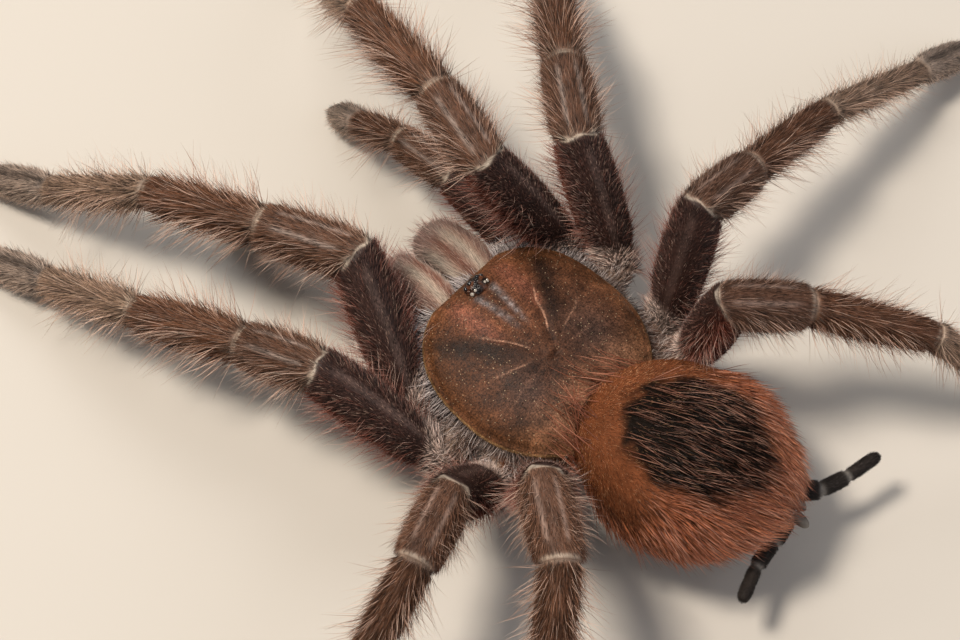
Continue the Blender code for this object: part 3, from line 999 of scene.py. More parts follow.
@dataclass(frozen=True)
class Limb:
    """One palp or leg, with one skin from the trochanter to the toe, mm."""

    side: Side
    kind: Kind
    hip: Point  # place of the hip joint on the left side
    pose: tuple[tuple[float, float], ...]  # heading and pitch of each part but the last, degrees
    toe: float  # heading of the last part
    places: int = 36
    tip_radius: float = 2.0
    foot_height: float = 1.75
    depth: tuple[float, ...] = (0.55, 0.6, 0.8, 0.75, 0.5)  # of the coat on each part
    groove: float = 0.34  # of a joint's bare skin
    slim: float = 0.22  # taken off the skin between the tibia and the toe
    knob: float = 0.3  # height of the pale knobs at the knee
    stripe: float = 0.32  # half width of a bare stripe
    thickness: float = 3.4  # that turns an angle into a distance round the limb
    beyond: float = 9.0  # added to the distance of an end that has no joint

    @property
    def name(self) -> str:
        """The nodes' common first words."""
        return f"{self.kind.word}_{self.side.word}"

    @property
    def sizes(self) -> LimbSizes:
        """The sizes of its kind."""
        return LIMB_SIZES[self.kind]

    @property
    def nodes(self) -> list[str]:
        """The names of its nodes."""
        last = "tarsus" if self.kind is Kind.PALP else "foot"
        return [f"{self.name}_{part}" for part in ("femur", "patella", "tibia", last)]

    @property
    def rear(self) -> bool:
        """Whether it is one of the four rear legs."""
        return self.kind in (Kind.LEG_3, Kind.LEG_4)

    @cached_property
    def joints(self) -> tuple[list[Array], list[Array]]:
        """Places of the joints from the hip to the toe, and the direction of each part."""
        lengths = self.sizes.lengths
        places = [np.array([self.side.value * self.hip[0], self.hip[1], self.hip[2]])]
        along = []
        for length, (heading, pitch) in zip(lengths, self.pose):
            along.append(way_of(self.side, heading, pitch))
            places.append(places[-1] + along[-1] * length)
        drop = math.degrees(math.asin((places[-1][2] - self.foot_height) / lengths[-1]))
        along.append(way_of(self.side, self.toe, -drop))
        places.append(places[-1] + along[-1] * lengths[-1])
        return places, along

    def coxa_way(self) -> Array:
        """Direction of the coxa that carries the limb."""
        mirror = np.array([self.side.value, 1.0, 1.0])
        return unit((np.array(self.hip) - np.array(self.sizes.root)) * mirror)

    def marks(self, part: int) -> int:
        """Which part of a full leg a segment is: a palp has no metatarsus."""
        return 4 if self.kind is Kind.PALP and part == 3 else part

    def bare(self, part: Any, share: Array, angle: Array) -> Array:
        """Work out the bare stripes along the back.

        Args:
            part: The part, or the part of each ring.
            share: Share of the part's length by ring.
            angle: Angle of each place.

        Returns:
            Their strength from 0 to 1.
        """
        found = np.zeros(np.broadcast(share, angle).shape)
        for item in STRIPES:
            begun, ended = ease(item.first, item.first + 0.06, share), ease(item.last - 0.08, item.last, share)
            for turn in (item.turn, -item.turn):
                off = (angle - math.radians(90.0 + turn)) * self.thickness
                there = item.strength * (begun * (1.0 - ended)) * bump(off, self.stripe)
                found = np.maximum(found, there * (np.asarray(part) == item.part))
        return found

    @cached_property
    def stripes(self) -> Array:
        """Strength of the bare stripes by ring and place, from 0 to 1."""
        rows = self.rows
        return self.bare(rows.part[:, None], rows.share[:, None], rows.angle[None, :])

    def radius(self, part: int, share: Array, behind: Array, ahead: Array, angle: Array) -> Array:
        """Radius of the skin by ring and place.

        Args:
            part: The segment's number.
            share: Share of its length by ring.
            behind: Distance from the joint behind by ring.
            ahead: Distance to the joint ahead by ring.
            angle: Angle of each place.

        Returns:
            Radii, mm.
        """
        sizes, mark = self.sizes, self.marks(part)
        first = sizes.radii[part]
        if mark == 4:
            line = np.interp(share, (0.0, 0.3, 0.7, 1.0), (first, first * 1.08, first, self.tip_radius))
        else:
            final, swell = sizes.radii[part + 1], sizes.swell[part]
            knots = [0.0, 0.17 if part == 0 else 0.1, 0.28, 0.62, 0.88, 1.0]
            bulge = [0.0, 0.03 * first if part == 0 else 0.3 * swell]
            bulge += [swell * math.sin(math.pi * knot) ** 0.8 for knot in knots[2:5]] + [0.0]
            level = [first + (final - first) * knot * (part > 0 or knot > 0.2) for knot in knots]
            line = softened(share, knots, np.add(level, bulge)[None, :], 0.05)[0]
        slim = self.slim * (1.9 if self.rear else 1.0)
        line = line - self.depth[mark] - slim * ease(0.0, 0.12, share) * (part in (2, 3))
        near = np.minimum(behind if part else behind + self.beyond, ahead if mark < 4 else ahead + self.beyond)
        line = (line - self.groove * bump(near, 0.5))[:, None]
        knee = (ahead if part == 0 else behind if part == 1 else behind + self.beyond)[:, None]
        knobs = bump(knee - 0.35, 0.55) * beside(angle, 38.0)
        return line + self.knob * knobs - 0.12 * self.bare(mark, share[:, None], angle)

    def stations(self, length: float) -> Array:
        """Places of the rings along a part, closest at its joints."""
        middle = np.linspace(2.5, length - 2.5, max(4, int((length - 5.0) / 0.85)))
        return np.concatenate([NEAR_JOINT, middle, length - NEAR_JOINT[::-1]])

    @cached_property
    def rows(self) -> Rows:
        """The rings of the whole limb, mitred at the joints and rounded at the toe."""
        places, along = self.joints
        planes = [unit(before + after) for before, after in zip([self.coxa_way(), *along], along)]
        angle, runs = turns(self.places, 0.5), []
        for part, way in enumerate(along):
            length = self.sizes.lengths[part]
            behind = self.stations(length)[min(part, 1):]
            share, ahead = behind / length, length - behind
            sideways, dorsal = cross_axes(way)
            around = ring_about(angle, sideways, dorsal)
            offset = self.radius(part, share, behind, ahead, angle)[..., None] * around
            low = places[part] + offset - slant(offset, way, planes[part])
            high = places[part + 1] + offset
            if part + 1 < len(along):
                high = high - slant(offset, way, planes[part + 1])
            points = low + (high - low) * share[:, None, None]
            runs.append((points, self.marks(part), share, behind, ahead, (way, dorsal)))
        turn = np.radians([14.0, 28.0, 42.0, 56.0, 70.0, 82.0])[:, None, None]
        ball = places[-1] + (self.tip_radius - self.depth[4]) * (np.sin(turn) * way + np.cos(turn) * around)
        runs.append((ball, 4, np.ones(6), np.full(6, length), np.zeros(6), (way, dorsal)))
        full = [(points, np.full(len(points), part), *values,
                 *(np.tile(axis, (len(points), 1)) for axis in axes)) for points, part, *values, axes in runs]
        columns = [np.concatenate(column) for column in zip(*full)]
        columns[0][..., 2] = np.maximum(columns[0][..., 2], SKIN_CLEARANCE)
        return Rows(*columns, angle)

    @cached_property
    def pale(self) -> Array:
        """Strength of the pale joint skin, from 0 to 1: a zigzag line at the knee, soft rings further out."""
        rows, angle = self.rows, self.rows.angle[None, :]
        part, ahead, behind = (values[:, None] for values in (rows.part, rows.ahead, rows.behind))
        signed = np.where(part == 0, -ahead, behind)
        zigzag = 0.32 * np.cos(4.0 * (angle - math.pi / 2)) * (rows.top > 0)
        knee = (part < 2) * bump(signed - zigzag, 0.24) * 0.85
        spots = (part < 2) * bump(signed - 0.1, 0.6) * beside(angle, 42.0)
        over = ease(-0.3, 0.8, rows.top)
        ring = ((part == 1) | (part == 2)) * bump(ahead - 0.4, 0.4) * 0.8 * over
        beyond = ((part == 2) | (part == 3)) * bump(behind, 0.4) * 0.65 * over
        toe = (part == 3) * bump(ahead - 0.2, 0.3) * 0.4
        return np.clip(np.maximum.reduce([knee, spots, ring, beyond, toe + 0 * over]), 0.0, 1.0)

    @cached_property
    def tint(self) -> Array:
        """Colour of skin and coat: velvet-black femora, browner further out, with pale marks."""
        rows = self.rows
        upper = rows.colours("#482f28", "#7c5743", "#7e553e", "#b99a83", "#c6b0a0")
        lower = rows.colours("#66301f", "#603a29", "#5e3726", "#9c7f6c", "#cab3a4")
        stripe = rows.colours("#8a746c", "#a08e84", "#8c6248", "#8a6a55", "#6f5b50")
        found = paint(mix(lower, upper, ease(-0.5, 0.5, rows.top)), ("#b5a095", 0.8 * rows.hip()))
        found = mix(found, stripe, (0.5 if self.rear else 0.9) * self.stripes)
        line = (rows.part == 4)[:, None] * bump(rows.angle - math.pi / 2, 0.3)[None, :]
        found = paint(found, ("#3c2f28", 0.75 * line),
                      ("#c9baa8", (0.75 if self.rear else 1.0) * self.pale))
        return mottle(found * (1.15 if self.kind is Kind.LEG_4 else 1.0), rows.points, 0.2, 1.9, 3.0)

    def build(self) -> None:
        """Make the limb's skin, its coat and its claws."""
        skin = Skin(f"{self.name}_skin", self.rows.points)
        # The skin is at half brightness under the coat as painted shade between the bristles. It is brighter
        # where the pale joints and bare stripes lie open.
        shade = self.tint * mix(0.5, 1.0, np.maximum(self.pale, 0.75 * self.stripes))[..., None]
        place(skin.build(LEG_SKIN, shade), Slot.LEG, *self.nodes)
        seed = 100 * self.kind.value + self.side.pick(7, 31)
        for number, fur in enumerate(COAT_OF_LEG):
            self.dress(skin, fur, seed + number)
        self.claws()

    def dress(self, skin: Skin, fur: Fur, seed: int) -> None:
        """Grow one layer of the limb's coat.

        Args:
            skin: The limb's skin.
            fur: How the layer lies.
            seed: Seed of its randomness.
        """
        rows = self.rows
        bare = np.maximum(self.stripes, 0.8 * self.pale * (rows.part < 2)[:, None])
        side, top, hip = np.abs(np.cos(rows.angle))[None, :], rows.top, rows.hip()
        comb = rows.along[:, None, :] - 0.38 * rows.dorsal[:, None, :] * side[..., None]
        flank = np.clip(0.25 + 0.75 * side - 0.3 * top, 0.0, 1.0)
        under = 1.0 - 0.45 * ease(-0.45, -0.85, top)
        femur = (rows.part == 0)[:, None] * 1.0
        fringe = femur * bump(top + 0.35, 0.35) * ease(0.12, 0.3, rows.share)[:, None]
        short = 1.0 - 0.1 * (self.kind is Kind.PALP) - 0.2 * self.rear
        ahead, reach = rows.ahead[:, None], rows.of_part(fur.reach)
        reach = np.where(rows.part[:, None] < 4, np.minimum(reach, 0.5 + 0.8 * ahead), reach)
        reach = reach * short * (0.85 + 0.3 * side) + fur.wool * hip + fur.fringe * fringe
        crowd = rows.of_part(fur.crowd) * (1.0 - 0.92 * bare) * under * ((1.0 - fur.flank) + fur.flank * flank)
        crowd = crowd * (1.0 - fur.sparse * femur * (0.85 - 0.8 * side - 0.5 * fringe))
        lift = rows.of_part(fur.lift) + fur.flare * side + 16.0 * hip
        shade = paint(self.tint, (fur.wash, fur.washed), ("#a25a4c", fur.red * femur))
        place(fur.layer.grow(skin, comb, lift, reach, crowd, shade, seed), Slot.LEG)

    def claws(self) -> None:
        """Make the pair of hooked claws at the toe."""
        places, along = self.joints
        sideways, dorsal = cross_axes(along[-1])
        t = np.linspace(0.0, 1.0, 7)[:, None]
        for number, turn in enumerate((-1.0, 1.0)):
            line = (places[-1] + along[-1] * (1.0 + 1.5 * t) + sideways * turn * (0.35 + 0.15 * t)
                    + dorsal * (0.55 + 0.25 * t - 1.5 * t ** 2))
            line[:, 2] = np.maximum(line[:, 2], 0.3)
            claw = tube(f"{self.name}_claw_{number + 1}", line, 0.2 * (1.0 - t[:, 0]) ** 0.7 + 0.03, 8)
            place(claw.build(CLAW_HORN, linear("#120c09")), Slot.HORN)


def softened(at: Array, knots: Sequence[float], columns: Array, width: float) -> Array:
    """Read lines through knots with their corners rounded off.

    Args:
        at: Where to read them, from 0 to 1.
        knots: Places of the knots.
        columns: The values of each line at the knots.
        width: How far on each side is averaged.

    Returns:
        One row of values for each line.
    """
    steps = np.linspace(-width, width, 7)
    return np.array([np.mean([np.interp(np.clip(at + step, 0, 1), knots, column) for step in steps], axis=0)
                     for column in columns])


def tube(name: str, line: Array, radii: Any, places: int) -> Skin:
    """Lay a tube's rings along a line.

    Args:
        name: The piece's name.
        line: Points of the line.
        radii: One radius, or one for each point.
        places: Points to a ring.

    Returns:
        The skin, not yet built.
    """
    rings = []
    for point, along, radius in zip(line, unit(np.gradient(line, axis=0)), np.broadcast_to(radii, len(line))):
        axes = cross_axes(along + np.array([0.0, 1e-4, 0.0]))
        rings.append(point + radius * ring_about(turns(places, 0.5), *axes))
    return Skin(name, np.array(rings))


# ---- head plate


@dataclass(frozen=True)
class Furrow:
    """A furrow that runs out from the pit of the plate to each side, mm."""

    end: tuple[float, float]
    depth: float
    width: float
    pale: float  # strength of the pale line in it


FURROWS = (Furrow((7.4, -10.9), 0.9, 0.75, 0.9), Furrow((11.6, -3.2), 0.4, 0.9, 0.5),
           Furrow((13.6, 3.4), 0.25, 1.1, 0.1), Furrow((10.2, 11.0), 0.25, 1.1, 0.1),
           Furrow((15.6, -6.6), 0.2, 1.0, 0.06))

PLATE_NAP = Layer(
    "nap", 6.0,
    Bristle("carapace_nap", 0.42, root=0.8, tip=1.3, vary=0.6, pale="#b98f62", pale_share=0.1),
    (Shape(0.12), Shape(0.09)), spread=0.2, uneven=0.35)
FRINGE = Layer(
    "fringe", 21.0,
    Bristle("pale_fringe", 0.5, root=0.45, tip=1.25, vary=0.5, pale="#fbf4f0", pale_share=0.25),
    (Shape(0.05, 2, 0.2), Shape(0.04, 2, 0.1)), spread=0.22, uneven=0.35)
DARK_FRINGE = Layer(
    "dark_fringe", 3.6,
    Bristle("black_fringe", 0.35, root=1.0, tip=1.0, vary=0.2, pale="#5a4a40", pale_share=0.1),
    (Shape(0.035, 3, 0.15),), spread=0.22, uneven=0.3)


@dataclass(frozen=True)
class Carapace:
    """The plate over the head and the leg bases, with its furrows and the hair along its rim, mm."""

    half_width: float = 17.3
    front: float = 18.8
    front_edge: float = 18.1
    back: float = 17.5
    power: float = 2.7  # squareness of the front half's outline
    underside: float = 13.6
    rim: float = 0.9
    dome: float = 4.9
    head_rise: float = 1.2
    head_half_width: float = 9.0
    front_wall: float = 2.0
    pit: tuple[float, float] = (0.0, 2.2)
    places: int = 220

    def outline(self, angle: Array) -> Array:
        """Lay out the outline; angle 0 is the left and 90 degrees the back.

        Args:
            angle: Angles round the middle.

        Returns:
            Flat points, mm.
        """
        c, s = np.cos(angle), np.sin(angle)
        rear = 1.0 / np.hypot(c / self.half_width, s / self.back)
        fore = ((np.abs(c / self.half_width) ** self.power + np.abs(s / self.front) ** self.power)
                ** (-1 / self.power))
        reach = np.where(s >= 0.0, rear, fore)
        return np.stack([c * reach, np.maximum(s * reach, -self.front_edge)], -1)

    def height(self, x: Array, y: Array, share: Array) -> Array:
        """Height of the smooth plate.

        Args:
            x: Sideways place, mm.
            y: Lengthwise place, mm.
            share: How far out it is: 0 at the middle and 1 at the rim.

        Returns:
            Heights, mm.
        """
        dome = self.dome * np.maximum(0.0, 1.0 - share ** 3.0) ** 0.75
        across = np.maximum(0.0, 1.0 - (x / self.head_half_width) ** 2)
        forward = np.clip((4.0 - y) / 12.0, 0.0, 1.0)
        head = self.head_rise * across * forward * np.maximum(0.0, 1.0 - share ** 8.0)
        wall = self.front_wall * np.clip((-4.0 - y) / 14.0, 0.0, 1.0) ** 1.5
        return self.underside + self.rim + wall + dome + head

    def share_of(self, x: Array, y: Array) -> Array:
        """How far out a point lies: 0 at the middle, 1 on the outline."""
        edge = self.outline(np.arctan2(y, x))
        return np.hypot(x, y) / np.hypot(edge[..., 0], edge[..., 1])

    def furrows(self, x: Array, y: Array) -> tuple[Array, Array]:
        """Depth of the furrows and strength of the pale lines in them, each from 0 to 1.

        Args:
            x: Sideways place, mm.
            y: Lengthwise place, mm.

        Returns:
            Depth and line.
        """
        side, depth, line = np.abs(x), np.zeros(np.shape(x)), np.zeros(np.shape(x))
        wander = 0.35 * np.sin(0.9 * y + 0.4 * x)
        start = np.array(self.pit) + np.array([0.5, -0.3])
        for furrow in FURROWS:
            run = np.array(furrow.end) - start
            length = np.hypot(*run)
            t = ((side - start[0]) * run[0] + (y - start[1]) * run[1]) / length
            off = ((side - start[0]) * run[1] - (y - start[1]) * run[0]) / length + wander * (t / length)
            along = ease(0.0, 2.0, t) * (1.0 - ease(0.55, 1.0, t / length))
            depth = np.maximum(depth, furrow.depth * along * bump(off, furrow.width))
            fine = ease(3.0, 5.0, t) * (1.0 - ease(0.72, 0.95, t / length)) * bump(off, 0.13)
            line = np.maximum(line, furrow.pale * fine)
        hollow = bump(x - self.pit[0], 1.1) * bump(y - self.pit[1], 0.55)
        return np.maximum(depth * 0.55, 1.3 * hollow), line

    def rings(self) -> tuple[Array, Array]:
        """Rings from under the middle, out round the rim and in over the top.

        Returns:
            The points, and the share of each ring on the top, or a negative one below it.
        """
        edge = self.outline(turns(self.places))
        rings, shares = [], []
        for share, level in ((0.3, 0.0), (0.7, 0.0), (0.94, 0.0), (0.985, 0.0), (0.998, 0.15)):
            rings.append(np.column_stack([edge * share, np.full(self.places, self.underside + level)]))
            shares.append(-share)
        wall = self.height(edge[:, 0], edge[:, 1], np.ones(self.places))
        for part in (0.35, 0.6, 0.8):
            rings.append(np.column_stack([edge, self.underside + 0.15 + (wall - self.underside - 0.3) * part]))
            shares.append(-1.0)
        for share in (1.0, 0.994, 0.985, 0.972, *np.linspace(0.955, 0.02, 84)):
            flat = edge * share
            z = self.height(flat[:, 0], flat[:, 1], np.full(self.places, share))
            depth, line = self.furrows(flat[:, 0], flat[:, 1])
            flange = 0.22 * bump(share - 0.955, 0.02)
            rings.append(np.column_stack([flat, z - 0.4 * depth * (1 - share ** 6) - 0.06 * line - flange]))
            shares.append(share)
        return np.array(rings), np.array(shares)

    def tint(self, rings: Array, shares: Array) -> Array:
        """Colour it copper brown, redder over the head and darker behind its furrows as painted shade beside
        the raised head, with a tan rim.

        Args:
            rings: The plate's points.
            shares: The share of each ring, as rings gives it.

        Returns:
            Linear colour by ring and place.
        """
        x, y, share = rings[..., 0], rings[..., 1], np.abs(shares)[:, None]
        side, out = np.abs(x), np.hypot(x, y - 2.0)
        radial = ripple(np.stack([9.0 * np.arctan2(y - 2.0, x), 0.12 * out, 0.0 * x], -1), 1.3)
        head = ease(1.5, -0.5, side - 0.62 * (2.0 - y)) * ease(1.0, -4.0, y)
        # behind: painted shade in the hollow beside the raised head, behind the furrows
        behind = bump(side - 0.66 * (2.0 - y) - 1.9, 2.1) * ease(0.5, -3.0, y) * ease(0.98, 0.85, share)
        outer = ease(0.74, 0.97, share) * (0.7 + 0.3 * ripple(rings, 2.0))
        # Two grey streaks behind the eye mound: a painted sheen.
        painted_sheen = bump(side - (0.85 + 0.11 * (-6.0 - y)), 0.6) * ease(-3.5, -8.5, y) * ease(-14.2, -13.4, y)
        depth, line = self.furrows(x, y)
        found = paint(
            linear("#4d3020"),
            ("#593623", 0.85 * head),
            ("#7c4c3c", 0.6 * head * bump(side - 5.2, 1.6) * ease(-3.0, -7.0, y)),
            ("#22150f", 0.9 * behind),
            ("#40302a", 0.8 * bump(side - 7.0, 4.5) * bump(y - 3.5, 5.5)),
            ("#3a241a", 0.5 * bump(side - 3.0, 3.4) * bump(y - 4.0, 5.5)),
            ("#7e5b45", 0.7 * ease(4.0, 13.0, y)),
            ("#664024", 0.6 * outer),
            ("#a08058", 0.55 * ease(0.984, 0.997, share)),
            ("#7c7878", 0.75 * painted_sheen * np.clip(0.75 + 0.5 * ripple(rings, 0.45), 0, 1)),
            # Painted shade darkens the hollows of the furrows.
            ("#2c1a12", 0.45 * np.clip(depth - line, 0, 1)),
            ("#a87f68", 0.8 * line * (shares[:, None] > 0)),
            ("#3a261c", 0.6 * (shares[:, None] < -0.5) * (share < 0.9)),
        )
        tone = (1.0 + 0.22 * ripple(rings, 1.7, 5.0) + 0.26 * ripple(rings, 0.5, 9.0)
                + 0.3 * ease(1.5, 5.0, out) * radial)
        return found * np.maximum(0.2, tone)[..., None]

    def build(self) -> None:
        """Make the plate, its nap and the fringe round its rim."""
        rings, shares = self.rings()
        plate, tint, y = Skin("carapace_plate", rings), self.tint(rings, shares), rings[..., 1]
        place(plate.build(Plate("polished_carapace"), tint), Slot.PLATE, "carapace")
        outward = unit(rings * np.array([1.0, 1.0, 0.0]) - np.array([*self.pit, 0.0]))
        depth, _ = self.furrows(rings[..., 0], y)
        crowd = (shares > 0.05)[:, None] * (0.5 + 0.5 * ripple(rings, 2.2)) * (1 - 0.6 * depth)
        place(PLATE_NAP.grow(plate, outward, 10.0, 0.5, crowd, paint(tint, ("#8a6440", 0.15)), 3), Slot.PLATE)
        fore, wall = ease(2.0, -13.0, y), ((shares < -0.9) & (shares >= -1.0))[:, None] * 1.0
        down = -UP + 0.35 * outward
        flesh = paint(blend("#ab958b", "#e6d9d6", fore), ("#7a5038", ease(6.0, 14.0, y)))
        place(FRINGE.grow(plate, down, mix(62.0, 74.0, fore), mix(2.5, 3.6, fore), wall, flesh, 17), Slot.WOOL)
        place(DARK_FRINGE.grow(plate, down, 66.0, mix(2.6, 4.2, fore), wall, linear("#1c1411"), 29), Slot.WOOL)


MOUND_CHITIN = Plate("mound_chitin", 0.22, grain=0.12, fleck=0.5, bright="#3c2a20", gloss=0.6)
MOUND_TUFT = Layer(
    "tuft", 5.0,
    Bristle("mound_bristle", 0.35, root=0.9, tip=1.3, vary=0.4, pale="#a58a6e", pale_share=0.3),
    (Shape(0.07, 2, 0.1),), spread=0.4, uneven=0.4)
BLACK_LENS = Horn("eye_lens_chitin", 0.04, colour="#05060a", warm="#14161c", coat=1.0, clouds=0.5)
PEARLY_LENS = Horn("pearly_eye_lens", 0.06, colour="#9a9084", warm="#d2cabd", coat=1.0, clouds=0.4)


@dataclass(frozen=True)
class EyeGroup:
    """The mound with the eight eyes, mm."""

    centre: Point = (0.0, -15.2, 19.0)
    size: Point = (2.0, 1.65, 1.75)
    gap: float = 0.3  # of the lenses from the solid mound
    flatness: float = 0.62
    eyes: tuple[tuple[str, Point, float], ...] = (
        ("anterior_median", (0.40, -0.46, 0.79), 0.40),
        ("anterior_lateral", (0.82, -0.44, 0.42), 0.42),
        ("posterior_lateral", (0.80, 0.34, 0.52), 0.34),
        ("posterior_median", (0.50, 0.38, 0.80), 0.26),
    )

    def mound(self) -> None:
        """Make the black warty mound."""
        ball = globe(np.radians(np.linspace(2.0, 178.0, 40))[:, None], turns(64))
        rings = np.array(self.centre) + ball * (np.array(self.size) + 0.2)
        rings = rings + ball * (0.13 * ripple(rings, 0.36))[..., None]
        skin = Skin("eye_mound", rings)
        tint = blend("#150b07", "#5e3824", ease(-0.3, 0.6, ripple(rings, 0.7, 2.0)))
        place(skin.build(MOUND_CHITIN, tint), Slot.PLATE)
        tuft = MOUND_TUFT.grow(skin, FORWARD + 0.1 * UP, 35.0, 0.7, (ball[..., 2] < 0.75) * 1.0,
                               linear("#4a3022"), 41)
        place(tuft, Slot.PLATE)

    def lens(self, name: str, way: Point, radius: float, side: Side) -> None:
        """Make one lens where its node is.

        Args:
            name: The eye's name.
            way: Its direction on the mound, on the left side.
            radius: Its radius.
            side: The side it is on.
        """
        size = np.array(self.size)
        ahead = unit(np.array([side.value * way[0], way[1], way[2]]))
        normal = unit(ahead / size)
        base = np.array(self.centre) + ahead * size + normal * self.gap
        turn = np.radians(np.linspace(-60.0, 84.0, 15))[:, None, None]
        flat = ring_about(turns(28), *cross_axes(normal))
        rings = base + radius * (np.cos(turn) * flat + self.flatness * np.sin(turn) * normal)
        finish = PEARLY_LENS if name.startswith("posterior") else BLACK_LENS
        lens = Skin(f"lens_{name}_{side.word}", rings).build(finish, linear("#05060a"))
        place(lens, Slot.LENS, f"eye_{name}_{side.word}")

    def build(self) -> None:
        """Make the mound and all eight lenses."""
        self.mound()
        for name, way, radius in self.eyes:
            for side in Side:
                self.lens(name, way, radius, side)


JAW_FUR = Layer(
    "fur", 20.0,
    Bristle("chelicera_fur", 0.42, root=0.7, tip=1.45, vary=0.35, pale="#d6c6b8", pale_share=0.16),
    (Shape(0.085), Shape(0.1)), spread=0.16, uneven=0.3)
JAW_SETA = Layer(
    "bristles", 3.0,
    Bristle("chelicera_bristle", 0.38, root=0.7, tip=1.5, vary=0.5, pale="#d8c0b4", pale_share=0.3),
    (Shape(0.035, 3, 0.12), Shape(0.03, 3, 0.05)), spread=0.2, uneven=0.35)


@dataclass(frozen=True)
class Chelicera:
    """The arched base of a fang, with the fang folded under it, mm.

    The profile gives distance ahead, height, half height, tilt in degrees and half width from base to tip, and
    the fang the lengthwise place and the height of its points.
    """

    side: Side
    middle: float = 4.55  # how far out it lies
    start: float = -18.4  # where it starts lengthwise
    profile: tuple[tuple[float, ...], ...] = (
        (-1.6, 11.2, 5.0, 0.0, 3.9), (0.0, 11.4, 5.6, 0.0, 4.1), (4.2, 12.0, 6.2, 6.0, 4.25),
        (8.0, 11.0, 5.6, 24.0, 4.1), (10.4, 8.9, 4.4, 46.0, 3.7), (11.4, 6.8, 2.7, 70.0, 3.0))
    depth: float = 0.5
    fang: tuple[tuple[float, float], ...] = (
        (-29.2, 4.9), (-28.8, 3.8), (-27.0, 3.1), (-24.2, 2.9), (-21.4, 3.3))
    fang_radii: tuple[float, ...] = (1.15, 1.15, 0.95, 0.65, 0.28)
    places: int = 44

    def rings(self) -> tuple[Array, Array, Array]:
        """Lay out the rings of the base.

        Returns:
            Points, directions by ring, and the angle of each place.
        """
        t = np.linspace(0.0, 1.0, 40)
        knots = np.linspace(0.0, 1.0, len(self.profile))
        ahead, height, tall, tilt, wide = softened(t, knots, np.array(self.profile).T, 0.07)
        angle = turns(self.places, 0.5)
        c, s = np.cos(angle), np.sin(angle)
        squarer = (np.abs(c) ** 2.5 + np.abs(s) ** 2.5) ** (-1.0 / 2.5)
        lean = np.radians(tilt)
        up = np.stack([0 * lean, -np.sin(lean), np.cos(lean)], -1)
        centre = np.stack([np.full_like(t, self.side.value * self.middle), self.start - ahead, height], -1)
        close = np.sqrt(np.clip((1.0 - t) / 0.06, 0.1, 1.0))
        wide, tall = (wide - self.depth) * close, (tall - self.depth) * close
        rings = (centre[:, None, :] + (wide[:, None] * c * squarer)[..., None] * np.array([1.0, 0.0, 0.0])
                 + (tall[:, None] * s * squarer)[..., None] * up[:, None, :])
        return rings, unit(np.gradient(centre, axis=0)), angle

    def tint(self, rings: Array, angle: Array) -> Array:
        """Colour it brown with beige-grey and red-brown bands along its top.

        Args:
            rings: The base's points.
            angle: Angle of each place.

        Returns:
            Linear colour by ring and place.
        """
        inward = (-self.side.value * np.cos(angle))[None, :]
        top = ease(-0.1, 0.5, np.sin(angle))[None, :]
        bands = ((0.92, 0.2, "#cdc0b2"), (0.5, 0.2, "#855747"), (0.05, 0.25, "#bdae9f"),
                 (-0.55, 0.25, "#876a60"))
        found = paint(blend("#4a3026", "#b59280", top),
                      *((colour, top * bump(inward - middle, width)) for middle, width, colour in bands),
                      ("#b0928a", 0.7 * ease(-25.5, -29.0, rings[..., 1])))
        return mottle(found, rings, 0.15, 1.6, 4.0)

    def build(self) -> None:
        """Make the base with its coat, and the fang."""
        rings, along, angle = self.rings()
        word, seed = self.side.word, self.side.pick(51, 57)
        skin, tint = Skin(f"chelicera_{word}_skin", rings), self.tint(rings, angle)
        # The skin is darker than its coat: painted shade between the bristles.
        place(skin.build(Cuticle("chelicera_cuticle"), tint * 0.75), Slot.WOOL, f"chelicera_{word}")
        comb = along[:, None, :] + np.array([0.12 * self.side.value, 0.0, 0.0])
        front = ease(-24.0, -28.5, rings[..., 1])
        fur = JAW_FUR.grow(skin, comb, mix(15.0, 26.0, front), mix(1.4, 1.7, front), 1.0, tint, seed)
        place(fur, Slot.WOOL)
        setae = JAW_SETA.grow(skin, comb, mix(18.0, 40.0, front), mix(2.2, 3.4, front), 0.4 + 0.6 * front,
                              paint(tint, ("#a98478", 0.5)), seed + 1)
        place(setae, Slot.WOOL)
        t, knots = np.linspace(0.0, 1.0, 30), np.linspace(0.0, 1.0, len(self.fang))
        y, z = (np.interp(t, knots, column) for column in np.array(self.fang).T)
        y, z = (np.convolve(np.pad(line, 3, mode="edge"), np.ones(7) / 7, "valid") for line in (y, z))
        line = np.stack([np.full_like(t, self.side.value * self.middle), y, z], -1)
        fang = tube(f"fang_{word}_horn", line, np.interp(t, knots, self.fang_radii) * 0.95, 24)
        place(fang.build(Horn("fang_chitin"), linear("#0c0807")), Slot.HORN, f"fang_{word}")


# ---- trunk


